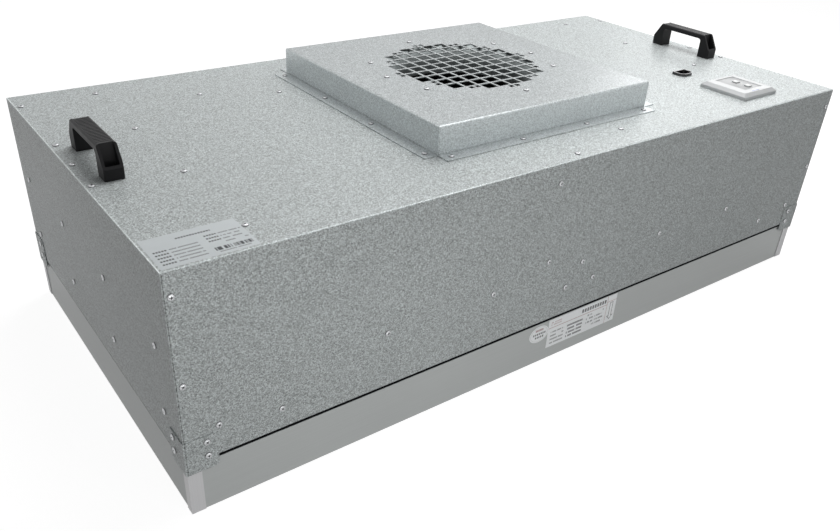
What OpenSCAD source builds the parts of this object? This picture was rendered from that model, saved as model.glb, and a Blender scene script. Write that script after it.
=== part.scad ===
// Fan filter unit: a sheet-steel plenum with a centrifugal fan, over a framed HEPA filter.
// Origin at the centre of the filter's lower rim; X along the length, -Y the front, Z up.

/* [Housing] */
// Length of the unit, end to end
unit_length = 1175; // [1165:1:1190]
// Depth of the unit, front to back
unit_depth = 575; // [565:1:590]
// Height from the filter's lower rim to the top sheet
unit_height = 320; // [316:1:330]
// Thickness of the galvanised sheet
sheet = 1.2; // [1:0.1:1.5]
// Width of the flanges folded in along the sheet edges
flange = 18; // [16:1:22]

/* [Filter] */
// Height of the filter's aluminium frame
filter_height = 69; // [66:1:72]
// Thickness of the sealing gasket between filter and housing
gasket_height = 5.5; // [3:0.5:6]
// Distance from one pleat of the medium to the next
pleat_pitch = 12.3; // [11:0.1:16]

/* [Intake hood] */
// Side of the square intake hood
hood_side = 400; // [390:1:410]
// Height of the hood above the top sheet
hood_height = 40; // [38:1:46]
// Width of the flange that screws the hood down
hood_flange = 21; // [18:1:24]
// Pitch of the punched square openings
grille_pitch = 22.5; // [22:0.1:23]
// Width of the bars left between the openings
grille_bar = 3.5; // [3:0.1:4.5]

/* [Fan] */
// Position of the fan axis along the length
fan_x = 16; // [-20:1:30]
// Position of the fan axis along the depth
fan_y = 10; // [-10:1:20]
// Radius of the impeller
impeller_r = 165; // [150:1:165]
// Number of backward-curved blades
blade_count = 7; // [5:1:9]

/* [Handles] */
// Length of a handle over its feet
handle_length = 128; // [124:1:136]
// Width of a handle
handle_width = 24; // [22:1:28]
// Height of a handle
handle_height = 40; // [36:1:40]
// Distance of the handles' centre lines from the middle
handle_x = 552; // [545:1:556]

/* [Controls] */
// Side of the square speed controller plate
plate_side = 86; // [84:1:90]
// Thickness of the controller plate
plate_height = 10; // [9:0.5:12]
// How far a button can be pressed
button_travel = 1; // [0.5:0.1:1.2]

/* [Hidden] */
$fn = 48;
half_l = unit_length / 2;
half_d = unit_depth / 2;
in_l = half_l - sheet;               // inner face of the end walls
in_d = half_d - sheet;               // inner face of the long walls
base_z = filter_height + gasket_height;
under_top = unit_height - sheet;
bend_r = 2.4;                        // outer radius of a sheet bend
lip = 20;                            // bottom flange of the long walls
hood_z = unit_height + hood_height;
fit_gap = 0.3;                       // gap between neighbouring sheets
hole_r = 2;                          // clearance hole of a sheet screw
shank_r = 1.85;
head_r = 3.6;
head_h = 1.9;

// Screw places. Top sheet: [x, y]; long walls: [x, z]; end walls: [y, z].
edge_x = half_l - 8;
edge_ys = [-66, 5, 75, 238];
guide_left_x = -476;
guide_right_x = 486;
guide_ys = [for (i = [0:3]) 4 + (i - 1.5) * 162];
top_edge_screws = [for (s = [-1, 1], y = edge_ys) [s * edge_x, y]];
top_guide_screws = [for (x = [guide_left_x, guide_right_x], y = guide_ys) [x, y]];
top_clip_screws = [[-347, 176], [-239, 132], [-16, -274], [108, -239]];
wall_edge_screws = [for (s = [-1, 1], z = [182, 291]) [s * edge_x, z]];
deck_screw_z = 154;
deck_screws = [for (i = [-2:2]) [fan_x + i * 169, deck_screw_z]];
seat_screws = [[-545, 115], [545, 115], [-468, 103], [468, 103],
               [fan_x - 28.5, 120], [fan_x + 28.5, 120]];
capacitor_x = -54.5;
capacitor_screws = [[capacitor_x, 174], [capacitor_x, 291]];
end_ys = [for (i = [0:3]) 4 + (i - 1.5) * 163];
end_guide_screws = [for (y = end_ys) [y, 209]];
end_seat_screws = [for (y = end_ys) [y, 120]];
bracket_in = 26.5;                   // bracket screws, in from the corner
bracket_zs = [79, 98.5];
hood_screw_step = 124;
hood_steps = [for (i = [0:3]) (i - 1.5) * hood_screw_step];
hood_screw_r = hood_side / 2 + hood_flange / 2;
ring_screw_r = 143;
ring_angles = [0, 30, 90, 150, 180, 210, 270, 330];

// Fan levels
deck_z = 144;                        // upper face of the deck
support_z = 190;                     // top of the motor support
disc_z = 209;                        // underside of the impeller's back disc
disc_t = 1.5;
throat_r = 100;
ring_lip_z = 318;
shroud_rim_z = 288;
shroud_eye_z = 324;
eye_r = 104;

// ---- Shared shapes ----

// Rectangle with its two upper corners rounded, standing on the X axis, centred.
module round_top_2d(w, h, r) {
    translate([-w / 2, 0]) square([w, h - r]);
    translate([-w / 2 + r, 0]) square([w - 2 * r, h]);
    for (s = [-1, 1]) translate([s * (w / 2 - r), h - r]) circle(r);
}

// Rectangle with four rounded corners, centred.
module round_rect_2d(w, h, r) {
    square([w, h - 2 * r], center = true);
    square([w - 2 * r, h], center = true);
    for (sx = [-1, 1], sy = [-1, 1]) translate([sx * (w / 2 - r), sy * (h / 2 - r)]) circle(r);
}

// Extrudes a [y, z] outline along X, centred on x = 0.
module along_x(length) {
    translate([-length / 2, 0, 0]) rotate([90, 0, 90]) linear_extrude(length) children();
}

// Extrudes an [x, z] outline along Y, centred on y = 0.
module along_y(length) {
    translate([0, length / 2, 0]) rotate([90, 0, 0]) linear_extrude(length) children();
}

// Box given by its lowest and highest corners.
module span(a, b) {
    translate(a) cube(b - a);
}

// Places children on the top sheet, looking up.
module at_top(points, z) {
    for (p = points) translate([p[0], p[1], z]) children();
}

// Places children on a long wall, looking out; side -1 is the front.
module at_long_wall(points, side, y) {
    for (p = points) translate([p[0], side * y, p[1]]) rotate([-side * 90, 0, 0]) children();
}

// Places children on an end wall, looking out; side -1 is the left.
module at_end_wall(points, side, x) {
    for (p = points) translate([side * x, p[0], p[1]]) rotate([0, side * 90, 0]) children();
}

// A hole that reaches 8 mm below and 4 mm above the face it is placed on.
module screw_hole() {
    translate([0, 0, -8]) cylinder(h = 12, r = hole_r, $fn = 24);
}

// Pan-head screw seated on z = 0.
module pan_screw(length = 6) {
    translate([0, 0, -length]) cylinder(h = length, r = shank_r, $fn = 24);
    cylinder(h = head_h / 2, r = head_r, $fn = 24);
    translate([0, 0, head_h / 2]) cylinder(h = head_h / 2, r1 = head_r, r2 = head_r * 0.6, $fn = 24);
}

module at_fan(z = 0) {
    translate([fan_x, fan_y, z]) children();
}

// ---- Housing ----

module shell_profile() {
    difference() {
        translate([0, base_z]) round_top_2d(unit_depth, unit_height - base_z, bend_r);
        translate([0, base_z - 1]) round_top_2d(2 * in_d, under_top - base_z + 1, bend_r - sheet);
    }
}

module housing_shell() {
    color([0.78, 0.80, 0.80]) difference() {
        union() {
            along_x(unit_length) shell_profile();
            for (s = [-1, 1]) span([-in_l, s > 0 ? in_d - lip : -in_d, base_z],
                                   [in_l, s > 0 ? in_d : -in_d + lip, base_z + sheet]);
        }
        at_fan(under_top - 1) cylinder(h = sheet + 2, r = impeller_r + 5, $fn = 96);
        at_top(top_edge_screws, unit_height) screw_hole();
        at_top(top_guide_screws, unit_height) screw_hole();
        at_top(top_clip_screws, unit_height) screw_hole();
        for (a = [0:90:270]) at_fan(unit_height) rotate(a)
            for (y = hood_steps) translate([hood_screw_r, y, 0]) screw_hole();
        handle_feet() screw_hole();
        for (s = [-1, 1]) {
            at_long_wall(wall_edge_screws, s, half_d) screw_hole();
            at_long_wall(deck_screws, s, half_d) screw_hole();
            at_long_wall(seat_screws, s, half_d) screw_hole();
            at_long_wall(bracket_points(half_l), s, half_d) screw_hole();
        }
        at_long_wall(capacitor_screws, -1, half_d) screw_hole();
        controller_at() cube([66, 66, 10], center = true);
        inlet_at() translate([0, 0, -5]) linear_extrude(10)
            inlet_outline(inlet_w + 2 * fit_gap, inlet_d + 2 * fit_gap, inlet_cut);
    }
}

function bracket_points(half) = [for (s = [-1, 1], z = bracket_zs) [s * (half - bracket_in), z]];

// A tray: the end wall with flanges folded in along its four edges.
module end_panel(side) {
    inner_x = half_l - flange;
    bottom_y = in_d - lip - fit_gap;
    color([0.72, 0.74, 0.74]) difference() {
        scale_x(side) {
            difference() {
                translate([half_l - flange / 2, 0, 0]) along_x(flange)
                    translate([0, base_z + sheet])
                        round_top_2d(2 * in_d, under_top - base_z - sheet, bend_r - sheet);
                span([inner_x - 1, -in_d + sheet, base_z], [in_l, in_d - sheet, under_top - sheet]);
            }
            span([in_l, -in_d, base_z], [half_l, in_d, base_z + sheet]);
            span([inner_x, -bottom_y, base_z], [half_l, bottom_y, base_z + sheet]);
        }
        at_top(top_edge_screws, unit_height) screw_hole();
        for (s = [-1, 1]) at_long_wall(wall_edge_screws, s, half_d) screw_hole();
        at_end_wall(end_guide_screws, side, half_l) screw_hole();
        at_end_wall(end_seat_screws, side, half_l) screw_hole();
        at_end_wall(bracket_points(half_d), side, half_l) screw_hole();
    }
}

// Mirrors left to right when side is -1.
module scale_x(side) {
    if (side < 0) mirror([1, 0, 0]) children();
    else children();
}

module end_panel_left() { end_panel(-1); }
module end_panel_right() { end_panel(1); }

// ---- Intake hood with its punched grille ----

module hood_block(side, height, r) {
    intersection() {
        along_x(side) round_top_2d(side, height, r);
        along_y(side) round_top_2d(side, height, r);
    }
}

// Cell centres of the grille in units of the pitch: every whole cell within a circle.
grille_cells = [for (i = [-5:4], j = [-5:4])
    if (norm([i + 0.5, j + 0.5]) < 5.05) [i + 0.5, j + 0.5]];
// Quarter cells that fill the steps of the circle, for one of its four sides.
grille_fillers = [[5.25, -0.25], [5.25, 0.25], [4.25, 2.25], [4.25, 2.75],
                  [4.25, -2.25], [4.25, -2.75]];

module grille_openings() {
    opening = grille_pitch - grille_bar;
    filler = grille_pitch / 2 - grille_bar;
    for (c = grille_cells) translate([c[0] * grille_pitch, c[1] * grille_pitch, 0])
        cube([opening, opening, 10], center = true);
    for (a = [0:90:270], c = grille_fillers) rotate(a)
        translate([c[0] * grille_pitch, c[1] * grille_pitch, 0])
            cube([filler, filler, 10], center = true);
}

module intake_hood() {
    edge = hood_side / 2;
    color([0.83, 0.85, 0.85]) difference() {
        at_fan(unit_height) union() {
            difference() {
                hood_block(hood_side, hood_height, bend_r);
                translate([0, 0, -1])
                    hood_block(hood_side - 2 * sheet, hood_height - sheet + 1, bend_r - sheet);
            }
            for (a = [0:90:270]) rotate(a)
                span([edge - sheet, -edge, 0], [edge + hood_flange, edge, sheet]);
        }
        at_fan(hood_z) grille_openings();
        at_fan(hood_z) for (a = ring_angles) rotate(a) translate([ring_screw_r, 0, 0]) screw_hole();
        for (a = [0:90:270]) at_fan(unit_height) rotate(a)
            for (y = hood_steps) translate([hood_screw_r, y, 0]) screw_hole();
    }
}

// Bell mouth: a flat flange under the hood's top that rolls down into the throat.
module inlet_ring() {
    roll = 25;
    ring_top = hood_z - sheet;
    wall = 1.2;
    color([0.86, 0.87, 0.88]) difference() {
        at_fan() rotate_extrude($fn = 96) {
            translate([throat_r + roll, ring_top - wall]) square([28, wall]);
            difference() {
                translate([throat_r + roll, ring_top - roll]) difference() {
                    circle(roll);
                    circle(roll - wall);
                }
                translate([throat_r + roll, 0]) square([2 * roll, hood_z]);
                translate([throat_r - 1, 0]) square([2 * roll + 2, ring_top - roll]);
            }
            translate([throat_r, ring_lip_z]) square([wall, ring_top - roll - ring_lip_z]);
        }
        at_fan(ring_top) for (a = ring_angles) rotate(a) translate([ring_screw_r, 0, 0]) screw_hole();
    }
}

// ---- Inner sheet work ----

// Deck that carries the motor and turns the air out towards both ends.
module fan_deck() {
    reach = 360;
    rise = 22;
    drop = 15;
    color([0.72, 0.74, 0.75]) difference() {
        union() {
            span([fan_x - reach, -in_d, deck_z - sheet], [fan_x + reach, in_d, deck_z]);
            for (s = [-1, 1]) {
                span([fan_x - reach, s > 0 ? in_d - sheet : -in_d, deck_z - sheet],
                     [fan_x + reach, s > 0 ? in_d : -in_d + sheet, deck_z + rise]);
                span([fan_x + (s > 0 ? reach - sheet : -reach), -in_d + sheet, deck_z - drop],
                     [fan_x + (s > 0 ? reach : -reach + sheet), in_d - sheet, deck_z]);
            }
        }
        for (s = [-1, 1]) at_long_wall(deck_screws, s, half_d) screw_hole();
        at_fan(deck_z) support_bolts() screw_hole();
    }
}

// Slanting plate that turns the air down at an end wall.
module air_guide(side, screw_x) {
    hem = 14;
    guide_z = 209;
    wall_top = guide_z + hem;
    x0 = abs(screw_x) - 10;
    x1 = abs(screw_x) + hem;
    color([0.75, 0.77, 0.78]) difference() {
        scale_x(side) along_y(2 * (in_d - sheet - fit_gap)) polygon([
            [x0, under_top], [x1, under_top], [in_l, wall_top], [in_l, guide_z - hem],
            [in_l - sheet, guide_z - hem], [in_l - sheet, wall_top - sheet / 2],
            [x1 - sheet / 2, under_top - sheet], [x0, under_top - sheet]]);
        at_top(top_guide_screws, unit_height) screw_hole();
        at_end_wall(end_guide_screws, side, half_l) screw_hole();
    }
}

module air_guide_left() { air_guide(-1, guide_left_x); }
module air_guide_right() { air_guide(1, guide_right_x); }

// Angle along a long wall that stiffens the seat above the gasket.
module seat_angle_long(side) {
    reach = half_l - flange - 1;
    color([0.74, 0.76, 0.77]) difference() {
        along_x(2 * reach) scale([side, 1]) {
            translate([in_d - sheet, base_z + sheet]) square([sheet, 55]);
            translate([in_d - 30, base_z + sheet]) square([30, sheet]);
        }
        at_long_wall(seat_screws, side, half_d) screw_hole();
        at_long_wall(bracket_points(half_l), side, half_d) screw_hole();
    }
}

module seat_angle_front() { seat_angle_long(-1); }
module seat_angle_back() { seat_angle_long(1); }

// The same along an end wall.
module seat_angle_end(side) {
    color([0.74, 0.76, 0.77]) difference() {
        scale_x(side) {
            span([in_l - sheet, -in_d + 2 * sheet, base_z + sheet],
                 [in_l, in_d - 2 * sheet, base_z + sheet + 55]);
            span([in_l - 26, -in_d + 31, base_z + sheet], [in_l, in_d - 31, base_z + 2 * sheet]);
        }
        at_end_wall(end_seat_screws, side, half_l) screw_hole();
        at_end_wall(bracket_points(half_d), side, half_l) screw_hole();
    }
}

module seat_angle_left() { seat_angle_end(-1); }
module seat_angle_right() { seat_angle_end(1); }

// ---- Filter ----

filter_inset = 1.5;
filter_l = half_l - filter_inset;
filter_d = half_d - filter_inset;
rail_wall = 1.6;
rail_lip = 18;

module gasket() {
    inset = 2;
    width = 16;
    color([0.06, 0.06, 0.07]) difference() {
        span([inset - half_l, inset - half_d, filter_height], [half_l - inset, half_d - inset, base_z]);
        span([inset + width - half_l, inset + width - half_d, filter_height - 1],
             [half_l - inset - width, half_d - inset - width, base_z + 1]);
    }
}

// Channel-section rail from corner to corner, its ends mitred at 45 degrees.
module filter_rail(reach, offset_y) {
    intersection() {
        along_x(2 * reach) translate([-offset_y, 0]) {
            square([rail_wall, filter_height]);
            square([rail_lip, rail_wall]);
            translate([0, filter_height - rail_wall]) square([rail_lip, rail_wall]);
        }
        linear_extrude(filter_height) polygon([
            [-reach, -offset_y], [reach, -offset_y],
            [reach - rail_lip, rail_lip - offset_y], [rail_lip - reach, rail_lip - offset_y]]);
    }
}

module filter_rail_front() { color([0.74, 0.76, 0.77]) filter_rail(filter_l, filter_d); }
module filter_rail_back() { color([0.74, 0.76, 0.77]) rotate(180) filter_rail(filter_l, filter_d); }
module filter_rail_left() { color([0.74, 0.76, 0.77]) rotate(-90) filter_rail(filter_d, filter_l); }
module filter_rail_right() { color([0.74, 0.76, 0.77]) rotate(90) filter_rail(filter_d, filter_l); }

// Glass-fibre medium folded into deep pleats from one end of the frame to the other.
module filter_pack() {
    reach = filter_l - rail_wall;
    pleats = floor(2 * reach / pleat_pitch);
    step = 2 * reach / pleats;
    low = 4;
    depth = 54;
    fold = 8;                        // thickness of the medium, measured upright
    top = [for (i = [0:2 * pleats]) [-reach + i * step / 2, low + fold + (i % 2) * depth]];
    bottom = [for (i = [2 * pleats:-1:0]) [-reach + i * step / 2, low + (i % 2) * depth]];
    color([0.93, 0.93, 0.90]) along_y(2 * (filter_d - rail_wall)) polygon(concat(top, bottom));
}

// Face guard on the clean-air side, lying on the rails' lower lips.
module filter_guard() {
    reach_x = filter_l - rail_wall - 0.5;
    reach_y = filter_d - rail_wall - 0.5;
    border = 17;
    columns = 23;
    rows = 11;
    bar = 4;
    cell_x = (2 * (reach_x - border) + bar) / columns;
    cell_y = (2 * (reach_y - border) + bar) / rows;
    color([0.92, 0.92, 0.92]) difference() {
        span([-reach_x, -reach_y, rail_wall], [reach_x, reach_y, rail_wall + sheet]);
        for (i = [0:columns - 1], j = [0:rows - 1])
            translate([border - reach_x + i * cell_x, border - reach_y + j * cell_y, 0])
                cube([cell_x - bar, cell_y - bar, 10]);
    }
}

// Angle that covers a mitred corner of the filter frame.
module filter_cap(sx, sy) {
    cap_t = 1;
    color([0.80, 0.80, 0.81]) scale_x(sx) mirror([0, sy < 0 ? 1 : 0, 0]) difference() {
        span([filter_l - 16, filter_d - 12, 0], [filter_l + cap_t, filter_d + cap_t, filter_height]);
        span([filter_l - 17, filter_d - 13, -1], [filter_l, filter_d, filter_height + 1]);
    }
}

module filter_cap_front_left() { filter_cap(-1, -1); }
module filter_cap_front_right() { filter_cap(1, -1); }
module filter_cap_back_left() { filter_cap(-1, 1); }
module filter_cap_back_right() { filter_cap(1, 1); }

// ---- Corner brackets ----

bracket_leg = 40;
bracket_low = 60;
bracket_high = 107;

// One leg's outline: square at the fold, round at its two free corners.
module bracket_leg_2d() {
    r = 6;
    tall = bracket_high - bracket_low;
    translate([0, bracket_low]) square([bracket_leg - r, tall]);
    translate([0, bracket_low + r]) square([bracket_leg, tall - 2 * r]);
    for (z = [bracket_low + r, bracket_high - r]) translate([bracket_leg - r, z]) circle(r);
}

module corner_bracket(sx, sy) {
    color([0.70, 0.72, 0.72]) difference() {
        scale_x(sx) mirror([0, sy < 0 ? 1 : 0, 0]) translate([half_l + sheet, half_d + sheet, 0]) {
            rotate([90, 0, 180]) translate([0, 0, -sheet]) linear_extrude(sheet) bracket_leg_2d();
            mirror([1, 0, 0]) rotate([90, 0, -90]) translate([0, 0, -sheet])
                linear_extrude(sheet) bracket_leg_2d();
        }
        at_long_wall(bracket_points(half_l), sy, half_d) screw_hole();
        at_end_wall(bracket_points(half_d), sx, half_l) screw_hole();
    }
}

module bracket_front_left() { corner_bracket(-1, -1); }
module bracket_front_right() { corner_bracket(1, -1); }
module bracket_back_left() { corner_bracket(-1, 1); }
module bracket_back_right() { corner_bracket(1, 1); }

// ---- Handles ----

handle_screw_y = handle_length / 2 - 9.5;
handle_foot = 10;                    // floor of the screw pocket

module handle_feet() {
    for (sx = [-1, 1], sy = [-1, 1])
        translate([sx * handle_x, sy * handle_screw_y, unit_height]) children();
}

// Bridge handle standing on z = 0 along Y, with a screw pocket in each sloping end.
module bridge_handle() {
    half = handle_length / 2;
    top_half = half - 16;
    shoulder = 14;
    leg = 22;
    grip = 8;
    color([0.10, 0.10, 0.11]) difference() {
        intersection() {
            along_x(handle_width) difference() {
                polygon([[-half, 0], [half, 0], [half, shoulder], [top_half, handle_height],
                         [-top_half, handle_height], [-half, shoulder]]);
                translate([0, -1]) round_top_2d(2 * (half - leg), handle_height - grip + 1, 5);
            }
            along_y(handle_length + 2) round_top_2d(handle_width, handle_height, 3);
            linear_extrude(handle_height) round_rect_2d(handle_width, handle_length, 2.5);
        }
        for (s = [-1, 1]) {
            span([-8.5, s > 0 ? half - 17.5 : -half + 2, handle_foot],
                 [8.5, s > 0 ? half - 2 : -half + 17.5, handle_height + 1]);
            translate([0, s * handle_screw_y, -1]) cylinder(h = handle_height, r = hole_r + 0.2);
        }
        for (i = [-9:9]) translate([0, i * 4.6, handle_height])
            cube([handle_width - 6, 1.4, 1.2], center = true);
    }
}

module handle_left() { translate([-handle_x, 0, unit_height]) bridge_handle(); }
module handle_right() { translate([handle_x, 0, unit_height]) bridge_handle(); }

// ---- Speed controller ----

button_size = [10, 9];
button_gap = 0.35;
button_foot = 3;
button_well = button_foot + fit_gap + button_travel + 3;
button_ys = [11, -12];
button_x = 7;
panel_z = plate_height - 1.2;        // floor of the recessed panel

module controller_at(z = 0) {
    translate([430, -208, unit_height + z]) children();
}

// Trapezium used for the plate's bevelled edge.
module bevel_2d(w, h, bevel) {
    polygon([[-w / 2, 0], [w / 2, 0], [w / 2, h / 2], [w / 2 - bevel, h], [bevel - w / 2, h],
             [-w / 2, h / 2]]);
}

module controller_plate() {
    color([0.93, 0.94, 0.94]) controller_at() difference() {
        intersection() {
            along_x(plate_side) bevel_2d(plate_side, plate_height, 6);
            along_y(plate_side) bevel_2d(plate_side, plate_height, 6);
        }
        span([-20, -25, panel_z], [27, 32, plate_height + 1]);
        for (y = button_ys) translate([button_x, y, plate_height / 2])
            cube([button_size[0] + 2 * button_gap, button_size[1] + 2 * button_gap, plate_height + 2],
                 center = true);
        span([-14, -35, plate_height - 1], [5, -33, plate_height + 1]);
    }
}

// Back box of the controller, hanging through the top sheet, with a well under each button.
module controller_body() {
    color([0.13, 0.13, 0.14]) controller_at() difference() {
        span([-31, -31, -34], [31, 31, 0]);
        for (y = button_ys) translate([button_x, y, 0])
            cube([button_size[0] + 3, button_size[1] + 3, 2 * button_well], center = true);
    }
}

// Push button: a key on a wider foot that stays under the plate.
module push_button(y) {
    color([0.97, 0.97, 0.97]) controller_at() translate([button_x, y, 0]) {
        translate([0, 0, plate_height / 2])
            cube([button_size[0], button_size[1], plate_height + 1], center = true);
        translate([0, 0, -fit_gap - button_foot / 2])
            cube([button_size[0] + 2, button_size[1] + 2, button_foot], center = true);
    }
}

module button_back() { push_button(button_ys[0]); }
module button_front() { push_button(button_ys[1]); }

module indicator_lens() {
    color([0.25, 0.32, 0.62]) controller_at(plate_height - 1)
        span([-14, -35, 0], [5, -33, 1.1]);
}

// ---- Power inlet ----

inlet_w = 31;
inlet_d = 23;
inlet_cut = 7;
inlet_rise = 4.5;
inlet_wall = 2.5;

module inlet_at(z = 0) {
    translate([418, -106, unit_height + z]) children();
}

// Rectangle whose two front corners are cut off, as on an appliance inlet.
module inlet_outline(w, d, cut) {
    polygon([[-w / 2, d / 2], [-w / 2, cut - d / 2], [cut - w / 2, -d / 2], [w / 2 - cut, -d / 2],
             [w / 2, cut - d / 2], [w / 2, d / 2]]);
}

// Socket that comes up through the sheet, with its flange against the sheet's underside.
module power_inlet() {
    color([0.06, 0.06, 0.07]) inlet_at() difference() {
        union() {
            translate([0, 0, -20]) linear_extrude(20 + inlet_rise)
                inlet_outline(inlet_w, inlet_d, inlet_cut);
            translate([0, 0, -sheet - 2]) linear_extrude(2)
                inlet_outline(inlet_w + 12, inlet_d + 8, inlet_cut);
        }
        translate([0, 0, -14]) linear_extrude(30)
            inlet_outline(inlet_w - 2 * inlet_wall, inlet_d - 2 * inlet_wall, inlet_cut - 2);
        inlet_blades(-30, 0);
    }
}

// The three contact blades, from one level to another, turned as in an appliance inlet.
module inlet_blades(z0, z1) {
    for (x = [-7, 7]) span([x - 1, 0, z0], [x + 1, 4, z1]);
    span([-2, -4, z0], [2, -2, z1]);
}

module inlet_pins() {
    color([0.80, 0.76, 0.62]) inlet_at() inlet_blades(-26, -1.5);
}

// ---- Motor ----

support_half = 62;
base_r = 50;
tube_r = 20;
bearing_r = 16;
shaft_r = 6;
can_r = 50;
can_in = 44.8;
can_top = 266;
core_r = 44;
bearing_h = 10;
lower_bearing_z = 200;
upper_bearing_z = 246;

module support_bolts() {
    for (sx = [-1, 1], sy = [-1, 1]) translate([sx * (support_half + 12), sy * 45, sheet]) children();
}

module base_bolts() {
    for (a = [45:90:315]) rotate(a) translate([40, 0, 0]) children();
}

// Hat-section bracket between the deck and the motor.
module motor_support() {
    color([0.55, 0.57, 0.58]) at_fan(deck_z) difference() {
        along_y(130) {
            translate([-support_half, support_z - deck_z - 2]) square([2 * support_half, 2]);
            for (s = [-1, 1]) {
                translate([s > 0 ? support_half - 2 : -support_half, 0]) square([2, support_z - deck_z]);
                translate([s > 0 ? support_half - 2 : -support_half - 24, 0]) square([26, sheet]);
            }
        }
        translate([0, 0, support_z - deck_z]) base_bolts() screw_hole();
        support_bolts() screw_hole();
    }
}

// Die-cast base with the tube that holds both bearings and the stator.
module motor_base() {
    color([0.66, 0.67, 0.68]) at_fan() difference() {
        union() {
            translate([0, 0, support_z]) cylinder(h = 8, r = base_r);
            translate([0, 0, support_z]) cylinder(h = upper_bearing_z + bearing_h - support_z, r = tube_r);
            translate([0, 0, 198]) cylinder(h = 10, r1 = 34, r2 = 26);
        }
        translate([0, 0, support_z - 1]) cylinder(h = 100, r = shaft_r + 3);
        translate([0, 0, support_z - 1])
            cylinder(h = lower_bearing_z + bearing_h - support_z + 1, r = bearing_r);
        translate([0, 0, upper_bearing_z]) cylinder(h = bearing_h + 1, r = bearing_r);
        translate([0, 0, support_z + 8]) base_bolts() translate([0, 0, -2]) screw_hole();
    }
}

module stator_core() {
    slots = 12;
    color([0.40, 0.41, 0.43]) at_fan(214) difference() {
        cylinder(h = 30, r = core_r);
        translate([0, 0, -1]) cylinder(h = 32, r = tube_r);
        for (a = [0:360 / slots:359]) rotate(a) span([29, -4, -1], [core_r - 4, 4, 31]);
        for (a = [0:360 / slots:359]) rotate(a) span([core_r - 5, -1.2, -1], [core_r + 1, 1.2, 31]);
    }
}

// Copper coils: bars through the slots, joined by the end turns above and below.
module stator_windings() {
    slots = 12;
    color([0.72, 0.40, 0.18]) at_fan(214) {
        for (a = [0:360 / slots:359]) rotate(a) span([30, -3.5, -5], [core_r - 5, 3.5, 35]);
        for (z = [-8, 30]) translate([0, 0, z]) difference() {
            cylinder(h = 8, r = core_r - 4);
            translate([0, 0, -1]) cylinder(h = 10, r = 28);
        }
    }
}

module ball_bearing(z) {
    color([0.78, 0.79, 0.80]) at_fan(z) difference() {
        cylinder(h = bearing_h, r = bearing_r);
        translate([0, 0, -1]) cylinder(h = bearing_h + 2, r = shaft_r);
        for (face = [-0.1, bearing_h - 0.7]) translate([0, 0, face]) difference() {
            cylinder(h = 0.8, r = 13.2);
            translate([0, 0, -1]) cylinder(h = 3, r = 8.8);
        }
    }
}

module bearing_lower() { ball_bearing(lower_bearing_z); }
module bearing_upper() { ball_bearing(upper_bearing_z); }

module motor_shaft() {
    color([0.62, 0.63, 0.65]) at_fan(196) cylinder(h = can_top + 4 - 196, r = shaft_r - 0.05);
}

// Turning outer shell of the motor, open below, with the flange that takes the impeller.
module rotor_can() {
    color([0.32, 0.33, 0.35]) at_fan() difference() {
        union() {
            translate([0, 0, disc_z - 3]) cylinder(h = can_top - disc_z + 3, r = can_r);
            translate([0, 0, disc_z - 3]) cylinder(h = 3, r = can_r + 14);
            translate([0, 0, can_top]) cylinder(h = 3, r = 14);
        }
        translate([0, 0, disc_z - 4]) cylinder(h = can_top - disc_z, r = can_in);
        translate([0, 0, disc_z]) cylinder(h = 100, r = shaft_r - 0.05);
        for (a = [0:30:359]) rotate(a) translate([30, 0, can_top]) cube([14, 4, 2], center = true);
        translate([0, 0, disc_z]) impeller_bolts() screw_hole();
    }
}

// ---- Impeller ----

module impeller_bolts() {
    for (a = [0:60:359]) rotate(a) translate([57.5, 0, 0]) children();
}

// Space swept by the blades: above the disc, under the cone of the shroud.
module blade_envelope() {
    rotate_extrude($fn = 96) polygon([
        [70, disc_z + disc_t], [impeller_r - 3, disc_z + disc_t], [impeller_r - 3, shroud_rim_z],
        [eye_r + 6, 309], [84, 309], [70, disc_z + 60]]);
}

// Backward-curved blades: arcs whose circle lies off the axis.
module impeller_wheel() {
    arc_r = 75;
    arc_centre = 95;
    blade_t = 1.6;
    color([0.42, 0.44, 0.46]) at_fan() {
        difference() {
            translate([0, 0, disc_z]) cylinder(h = disc_t, r = impeller_r, $fn = 96);
            translate([0, 0, disc_z - 1]) cylinder(h = disc_t + 2, r = can_r + 0.2);
            translate([0, 0, disc_z]) impeller_bolts() screw_hole();
        }
        intersection() {
            blade_envelope();
            for (i = [0:blade_count - 1]) rotate(i * 360 / blade_count)
                translate([0, 0, disc_z]) linear_extrude(110) intersection() {
                    translate([arc_centre, 0]) difference() {
                        circle(arc_r, $fn = 96);
                        circle(arc_r - blade_t, $fn = 96);
                    }
                    translate([60, 0]) square([120, 90]);
                }
        }
    }
}

// Conical front ring that closes the blades and overlaps the bell mouth.
module impeller_shroud() {
    wall = 1.5;
    color([0.45, 0.47, 0.49]) at_fan() rotate_extrude($fn = 96) polygon([
        [eye_r, 312], [eye_r, shroud_eye_z], [eye_r + wall, shroud_eye_z], [eye_r + wall, 313],
        [eye_r + 7, 309 + wall], [impeller_r, shroud_rim_z + wall - 1],
        [impeller_r, shroud_rim_z - 1], [impeller_r - 3, shroud_rim_z], [eye_r + 6, 309]]);
}

module impeller_screws() {
    color([0.80, 0.81, 0.82]) at_fan(disc_z + disc_t) impeller_bolts() pan_screw(4.5);
}

// ---- Run capacitor ----

capacitor_z = 205;
capacitor_r = 18;

// Strip on the front wall with a cradle for the capacitor.
module capacitor_bracket() {
    color([0.74, 0.76, 0.77]) difference() {
        union() {
            span([capacitor_x - 22, -in_d, 168], [capacitor_x + 22, -in_d + 1.5, 302]);
            span([capacitor_x - 22, -in_d, capacitor_z - 1.5],
                 [capacitor_x + 22, -in_d + 42, capacitor_z]);
            translate([capacitor_x, -in_d + 22, capacitor_z]) difference() {
                cylinder(h = 12, r = capacitor_r + 1.6);
                translate([0, 0, -1]) cylinder(h = 14, r = capacitor_r);
            }
        }
        at_long_wall(capacitor_screws, -1, half_d) screw_hole();
    }
}

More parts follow.
